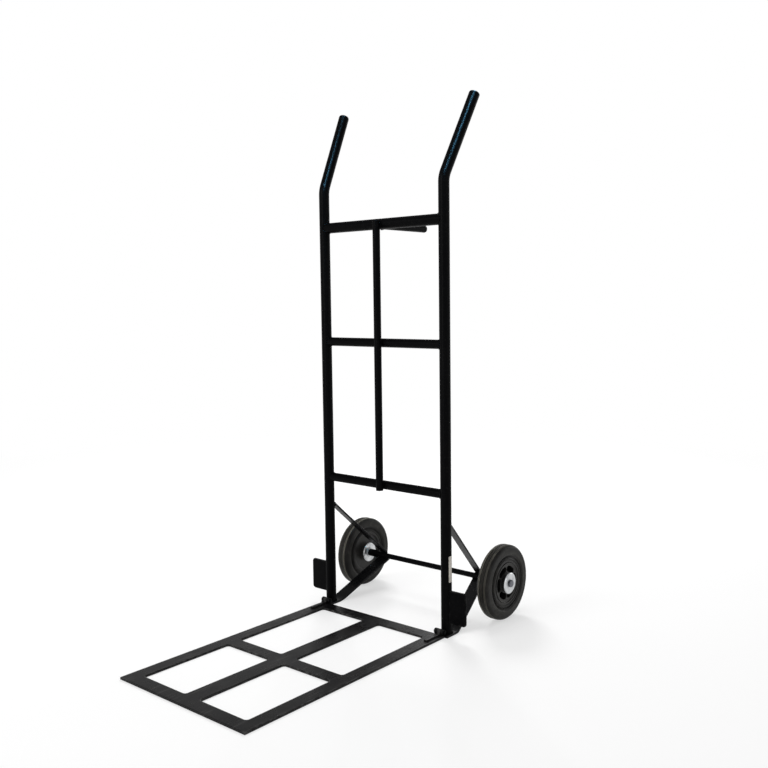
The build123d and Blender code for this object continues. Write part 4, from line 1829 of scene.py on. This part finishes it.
    def _sector(self) -> bpy.types.Mesh:
        """One sector of the wheel centre with its pocket, round the X axis.

        Returns:
            The sector, open where the next ones join it.
        """
        high, low, edge, half = self.web_high, self.web_low, self.edge, self.opening_half
        wide, border = self._outline(half + edge)
        quarter = np.linspace(0.0, QUARTER_TURN, self.edge_points)
        front = [(border, high), (border + (wide - border) / 2, high), (wide, high)]
        for angle in quarter[1:]:
            flat = self._outline(half + edge * (1 - math.sin(angle)))[0]
            front.append((flat, high - edge * (1 - math.cos(angle))))
        floor, narrow = low + self.pocket_floor, half - self.pocket_draft
        for angle in quarter:
            flat = self._outline(narrow - edge * (1 - math.cos(angle)))[0]
            front.append((flat, floor + edge * (1 - math.sin(angle))))
        core = self._outline(narrow * self.pocket_core)[0]
        front.append((core, floor))
        shapes = []
        for stack in (front, [(border, low), (wide, low), (core, low)]):
            rings = np.array([points_at(u, *flat.T) for flat, u in stack])
            points, faces = skin(rings, cap=False)
            faces.append(list(range(len(points) - len(border), len(points))))
            shapes.append((points, faces))
        spoke = np.linspace(self.opening_reach, self.half_sector, self.corner_steps + 1)
        arc = np.linspace(-self.opening_reach, self.opening_reach, self.arc_steps + 1)
        angles = np.concatenate((-spoke[:0:-1], arc[:-1], spoke))
        inside, bore = self.rim_radius - self.band, self.bush_radius + self.seat_gap
        band_half = self.tyre_half - self.band_inset
        for profile in (
            self._flange(band_half, inside, self.rim_radius, self.band_softness),
            self._flange(-self.hub_half, self.hub_radius, bore, 1.0),
        ):
            along, out = profile.T
            rows = [points_at(along, out * math.cos(a), out * math.sin(a)) for a in angles]
            shapes.append(skin(np.array(rows), cap=False, shut=False))
        points, faces = join(shapes)
        mesh = bpy.data.meshes.new("wheel_sector")
        mesh.from_pydata([tuple(point) for point in points], [], faces)
        return mesh

    def _flange(self, half: float, near: float, far: float, softness: float) -> np.ndarray:
        """Section of the rim's band or of the hub, from one face of the web round to the other.

        Args:
            half: Half of the width, negative where the section starts at the web's back.
            near: Radius of the side that meets the web.
            far: Radius of the other side.
            softness: Rounding of the near corners, in shares of the far ones.

        Returns:
            Points along the axis and out from it.
        """
        soft, fillet = self.rim_soft, self.root * self.root_fillet
        first, last = (self.web_high, self.web_low) if half > 0 else (self.web_low, self.web_high)
        web = near + math.copysign(self.root, near - far)
        corners = [
            (first, web, 0.0),
            (first, near, fillet),
            (half, near, soft * softness),
            (half, far, soft),
            (-half, far, soft),
            (-half, near, soft * softness),
            (last, near, fillet),
            (last, web, 0.0),
        ]
        return round_corners(corners)

    def _rim(self) -> None:
        """Wheel centre from its sectors, with its pockets marked for painted shade."""
        coat, tree = self.finishes.wheel, self.growers.copies
        points, faces = self.growers.grow(tree, self._sector(), coat, copies=self.spokes)
        points[:, X] *= self.hand.value
        points = np.round(points + np.array(self.centre), 7)
        mesh = self._add("wheel_centre", (points, faces), coat, "rim")
        self._mark(mesh, "deep", self._depth)

    def _mark(
        self, mesh: bpy.types.Mesh, name: str, rule: Callable[[float, float], float]
    ) -> None:
        """Mark each point of a mesh for its finish.

        Args:
            mesh: Mesh of a finished piece.
            name: Name of the attribute.
            rule: Mark from the distances along the axis and out from it.
        """
        layer = mesh.attributes.new(name, "FLOAT", "POINT")
        for vert, mark in zip(mesh.vertices, layer.data):
            offset = vert.co - self.centre
            mark.value = rule(offset.x * self.hand.value, math.hypot(offset.y, offset.z))

    def _dust_and_highlight(self, out: float, radius: float) -> float:
        """Dust and painted highlight in the tread grooves, strongest in the inner groove, and along the outer ring
        of the sidewalls.

        Args:
            out: Distance from the middle of the tyre, positive on the outer side.
            radius: Distance from the axis.

        Returns:
            Share of dust and painted highlight.
        """
        u, (reach, depth) = abs(out), self.wall_dust_and_highlight_size
        middle = self.groove_pitch * min(1, round(u / self.groove_pitch))
        near = abs(u - middle) < (self.groove_width + self.lip) / 2
        groove = radius > self.panel_outer + self.lip and near
        wall = abs(radius - self.panel_outer) < reach and u > self.tyre_half - depth
        centre_mark, outer_mark, inner_mark = self.groove_dust_and_highlight
        share = centre_mark if not middle else outer_mark if out > 0 else inner_mark
        return max(float(groove) * share, float(wall) * self.wall_dust_and_highlight)

    def _depth(self, out: float, radius: float) -> float:
        """How deep a point lies in a pocket, which sets how much painted shade it takes.

        Args:
            out: Distance from the middle of the wheel, positive on the outer side.
            radius: Distance from the axis.

        Returns:
            Depth from 0 to 1.
        """
        soft = self.edge / 2
        inside = abs(radius - self.opening_radius) < self.opening_half + soft
        if inside and self.web_low + self.pocket_floor / 2 < out < self.web_high - soft:
            return min(1.0, (self.web_high - out) / self.pocket_shade)
        return 0.0

    def _discs(self) -> None:
        """Plated disc on each face of the hub."""
        bore, radius, face = self.disc_bore, self.disc_radius, self.disc_face
        back, (brim, slope) = face - self.disc_thickness, self.disc_slope
        profile = round_corners(
            [
                (back, bore, 0.0003),
                (back, radius, 0.0003),
                (back + brim, radius, 0.0006),
                (face, radius - slope, 0.0014),
                (face, bore, 0.0004),
            ]
        )
        shape = turn_pair(profile, self.centre, segments=96)
        self._add("hub_plates", shape, self.finishes.zinc, "hub_discs")


@dataclass
class AxleCaps:
    """Push-on caps over both ends of the axle."""

    finishes: Finishes
    length: float = 0.005
    edge: float = 0.0014
    crown: float = 0.0006
    crown_shares: Pair = (0.72, 0.6)
    fit: float = 0.0001

    def build(self) -> None:
        """Make the caps."""
        radius, bore = half_size("axle_caps", Z), half_size("axle", Z) + self.fit
        face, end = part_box("axle_caps")[1].x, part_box("axle")[1].x + self.fit
        root, brim = face - self.length, face - self.crown
        foot, top = (radius * share for share in self.crown_shares)
        profile = round_corners(
            [
                (end, 0.0, 0.0),
                (end, bore, 0.0),
                (root, bore, 0.0003),
                (root, radius, 0.0004),
                (brim, radius, self.edge),
                (brim, foot, 0.0006),
                (face, top, 0.0008),
                (face, 0.0, 0.0),
            ]
        )
        centre = Vector((0.0, middle_of("axle_caps", Y), middle_of("axle_caps", Z)))
        shape, coat = turn_pair(profile, centre, segments=64), self.finishes.steel
        add_piece("axle_end_caps", shape, coat, Body.FRAME, "axle_caps", sharp=50.0)


@dataclass
class WeldBeads:
    """Weld beads of one body, as one piece."""

    growers: Growers
    coat: Coat
    body: Body
    radius: float
    sharp: float = 80.0

    def build(self, name: str, closed: list[np.ndarray], ended: list[np.ndarray]) -> None:
        """Lay the beads.

        Args:
            name: Name of the piece.
            closed: Paths that run round a joint.
            ended: Paths that start and stop.
        """
        beads, tree = [], self.growers.bead
        for paths, shut in ((closed, True), (ended, False)):
            if paths:
                source = path_mesh(paths, shut)
                beads.append(self.growers.grow(tree, source, self.coat, radius=self.radius))
        add_piece(name, join(beads), self.coat, self.body, sharp=self.sharp)


@dataclass(frozen=True)
class Lamp:
    """Soft rectangular lamp."""

    name: str
    place: Triple
    target: Triple
    size: Pair
    power: float
    colour: Triple = (1.0, 1.0, 1.0)
    mirrored: bool = True
    shed: bool = True
    spread: float = math.pi

    def light(self) -> None:
        """Put the lamp in the scene."""
        data = bpy.data.lights.new(self.name, "AREA")
        data.shape = "RECTANGLE"
        data.size, data.size_y = self.size
        data.energy, data.spread, data.color = self.power, self.spread, self.colour
        lamp = bpy.data.objects.new(self.name, data)
        lamp.location = self.place
        aim = Vector(self.target) - Vector(self.place)
        lamp.rotation_euler = aim.to_track_quat("-Z", "Y").to_euler()
        lamp.visible_glossy, lamp.visible_diffuse = self.mirrored, self.shed
        bpy.context.scene.collection.objects.link(lamp)


@dataclass
class Studio:
    """Pale floor, white surroundings, soft lamps and the camera."""

    camera_place: Triple = (1.5786, -1.6538, 0.8701)
    yaw: float = math.radians(40.32)
    pitch: float = math.radians(5.25)
    roll: float = math.radians(-0.73)
    focal_pixels: float = 909.0
    frame_pixels: float = 768.0
    sensor_mm: float = 36.0
    floor_size: float = 60.0
    floor_colour: Triple = (0.86, 0.86, 0.86)
    floor_glow: float = 0.54
    floor_near: float = 1.3
    floor_far: float = 3.6
    room_level: float = 0.36
    backdrop_top: Pair = (0.12, 0.42)
    lamps: tuple[Lamp, ...] = (
        Lamp("front_key", (-1.4, -3.4, 2.6), (0.0, 0.1, 0.6), (1.4, 1.4), 48.0),
        Lamp("front_strip", (-0.35, -3.3, 1.1), (0.1, 0.2, 1.0), (0.14, 2.1), 20.0),
        Lamp("side_strip", (3.1, 0.68, 1.1), (0.2, 0.2, 0.9), (0.14, 2.0), 7.0),
        Lamp(
            "handle_strip",
            (0.99, -0.93, 2.99),
            (0.12, 0.26, 1.3),
            (2.0, 0.4),
            14.0,
            (0.2, 0.62, 1.0),
            shed=False,
            spread=0.32,
        ),
        Lamp("back_left", (-1.6, 3.1, 1.2), (-0.2, 0.2, 0.9), (0.7, 2.0), 9.0),
        Lamp("back_right", (1.4, 3.2, 1.2), (0.2, 0.2, 0.9), (0.7, 2.0), 9.0),
        Lamp("back_key", (-2.2, 2.5, 2.6), (0.0, 0.2, 0.1), (1.2, 1.2), 110.0, mirrored=False),
        Lamp("top_soft", (0.2, 0.2, 4.2), (0.0, 0.1, 0.0), (2.2, 2.2), 44.0),
    )

    def build(self) -> None:
        """Set up the stage."""
        self._floor()
        self._room()
        for lamp in self.lamps:
            lamp.light()
        self._camera()
        bpy.context.scene.view_settings.view_transform = "Standard"

    def _rays(self, bench: Bench) -> tuple[Socket, Socket]:
        """Tell apart the rays that see the surroundings.

        Args:
            bench: Bench of the floor or of the world.

        Returns:
            One for camera rays, and one for glossy and transmission rays.
        """
        rays = bench.add("ShaderNodeLightPath").outputs
        mirror = bench.math("MAXIMUM", rays["Is Glossy Ray"], rays["Is Transmission Ray"])
        return rays["Is Camera Ray"], mirror

    def _floor(self) -> None:
        """Pale floor that keeps the shadow and glows to white away from the truck."""
        material = bpy.data.materials.new("pale_floor")
        bench = Bench.cleared(material)
        matt = bench.add("ShaderNodeBsdfDiffuse", {"Color": (*self.floor_colour, 1.0)})
        glow = bench.add("ShaderNodeEmission", {"Color": WHITE, "Strength": 1.0})
        spot = bench.add("ShaderNodeNewGeometry").outputs["Position"]
        away = bench.add("ShaderNodeVectorMath", {0: spot}, operation="LENGTH").outputs["Value"]
        rise = bench.ramp(away, self.floor_near, self.floor_far, (self.floor_glow, 1.0))
        share = bench.math("MULTIPLY", bench.math("MAXIMUM", *self._rays(bench)), rise)
        mixed = {0: share, 1: matt.outputs[0], 2: glow.outputs[0]}
        surface = bench.add("ShaderNodeMixShader", mixed).outputs[0]
        bench.add("ShaderNodeOutputMaterial", {"Surface": surface})
        half = self.floor_size / 2
        corners = [(-half, -half, 0), (half, -half, 0), (half, half, 0), (-half, half, 0)]
        mesh = bpy.data.meshes.new("studio_floor")
        mesh.from_pydata(corners, [], [(0, 1, 2, 3)])
        mesh.materials.append(material)
        floor = bpy.data.objects.new("studio_floor", mesh)
        bpy.context.scene.collection.objects.link(floor)

    def _room(self) -> None:
        """White background for what is seen, softer grey for the light it sheds."""
        world = bpy.data.worlds.new("white_room")
        bench = Bench.cleared(world)
        dim, white = (
            bench.add("ShaderNodeBackground", {"Color": WHITE, "Strength": level}).outputs[0]
            for level in (self.room_level, 1.0)
        )
        camera, mirror = self._rays(bench)
        position = bench.add("ShaderNodeNewGeometry").outputs["Position"]
        heading = bench.add("ShaderNodeSeparateXYZ", {0: position}).outputs["Z"]
        backdrop = bench.ramp(heading, *self.backdrop_top, (1.0, 0.0))
        seen = bench.math("MAXIMUM", camera, bench.math("MULTIPLY", mirror, backdrop))
        mixed = bench.add("ShaderNodeMixShader", {0: seen, 1: dim, 2: white})
        bench.add("ShaderNodeOutputWorld", {"Surface": mixed.outputs[0]})
        bpy.context.scene.world = world

    def _camera(self) -> None:
        """Camera at the photograph's place and angle."""
        ahead = Vector((-math.sin(self.yaw), math.cos(self.yaw), 0.0))
        right = Vector((math.cos(self.yaw), math.sin(self.yaw), 0.0))
        up = Vector((0.0, 0.0, 1.0))
        look = math.cos(self.pitch) * ahead - math.sin(self.pitch) * up
        top = math.sin(self.pitch) * ahead + math.cos(self.pitch) * up
        side = math.cos(self.roll) * right + math.sin(self.roll) * top
        top = -math.sin(self.roll) * right + math.cos(self.roll) * top
        data = bpy.data.cameras.new("photo_camera")
        data.sensor_width = self.sensor_mm
        data.lens = self.focal_pixels / self.frame_pixels * self.sensor_mm
        camera = bpy.data.objects.new("photo_camera", data)
        turned = Matrix((side, top, -look)).transposed().to_4x4()
        camera.matrix_world = Matrix.Translation(self.camera_place) @ turned
        bpy.context.scene.collection.objects.link(camera)
        bpy.context.scene.camera = camera


def main() -> None:
    """Build the truck and its stage."""
    logging.basicConfig(level=logging.INFO, format="%(name)s: %(message)s")
    finishes, growers = Finishes(Effects()), Growers()
    tubes = TubeFrame(finishes, growers)
    brackets = [AxleBracket(finishes, tubes, hand) for hand in Hand]
    hinges = [FoldHinge(finishes, hand) for hand in Hand]
    wheels = [Wheel(finishes, growers, hand) for hand in Hand]
    sticker, toe, caps = BlankSticker(finishes, tubes), ToeFrame(finishes), AxleCaps(finishes)
    for assembly in (tubes, *brackets, sticker, toe, *hinges, *wheels, caps):
        assembly.build()
    frame_beads = WeldBeads(growers, finishes.enamel, Body.FRAME, tubes.bead_radius)
    ended = tubes.saddle_welds() + [path for bracket in brackets for path in bracket.welds()]
    frame_beads.build("frame_weld_beads", tubes.welds(), ended)
    toe_radius = tubes.bead_radius * FoldHinge.bead_share
    toe_beads = WeldBeads(growers, finishes.toe_enamel, Body.TOE, toe_radius)
    toe_beads.build("toe_weld_beads", [], [path for hinge in hinges for path in hinge.welds()])
    for node in ("axle", "axle_spacer_left", "axle_spacer_right"):
        dress_node(node, finishes.enamel)
    dress_node("inner_washers", finishes.zinc)
    Studio().build()


if __name__ == "__main__":
    main()
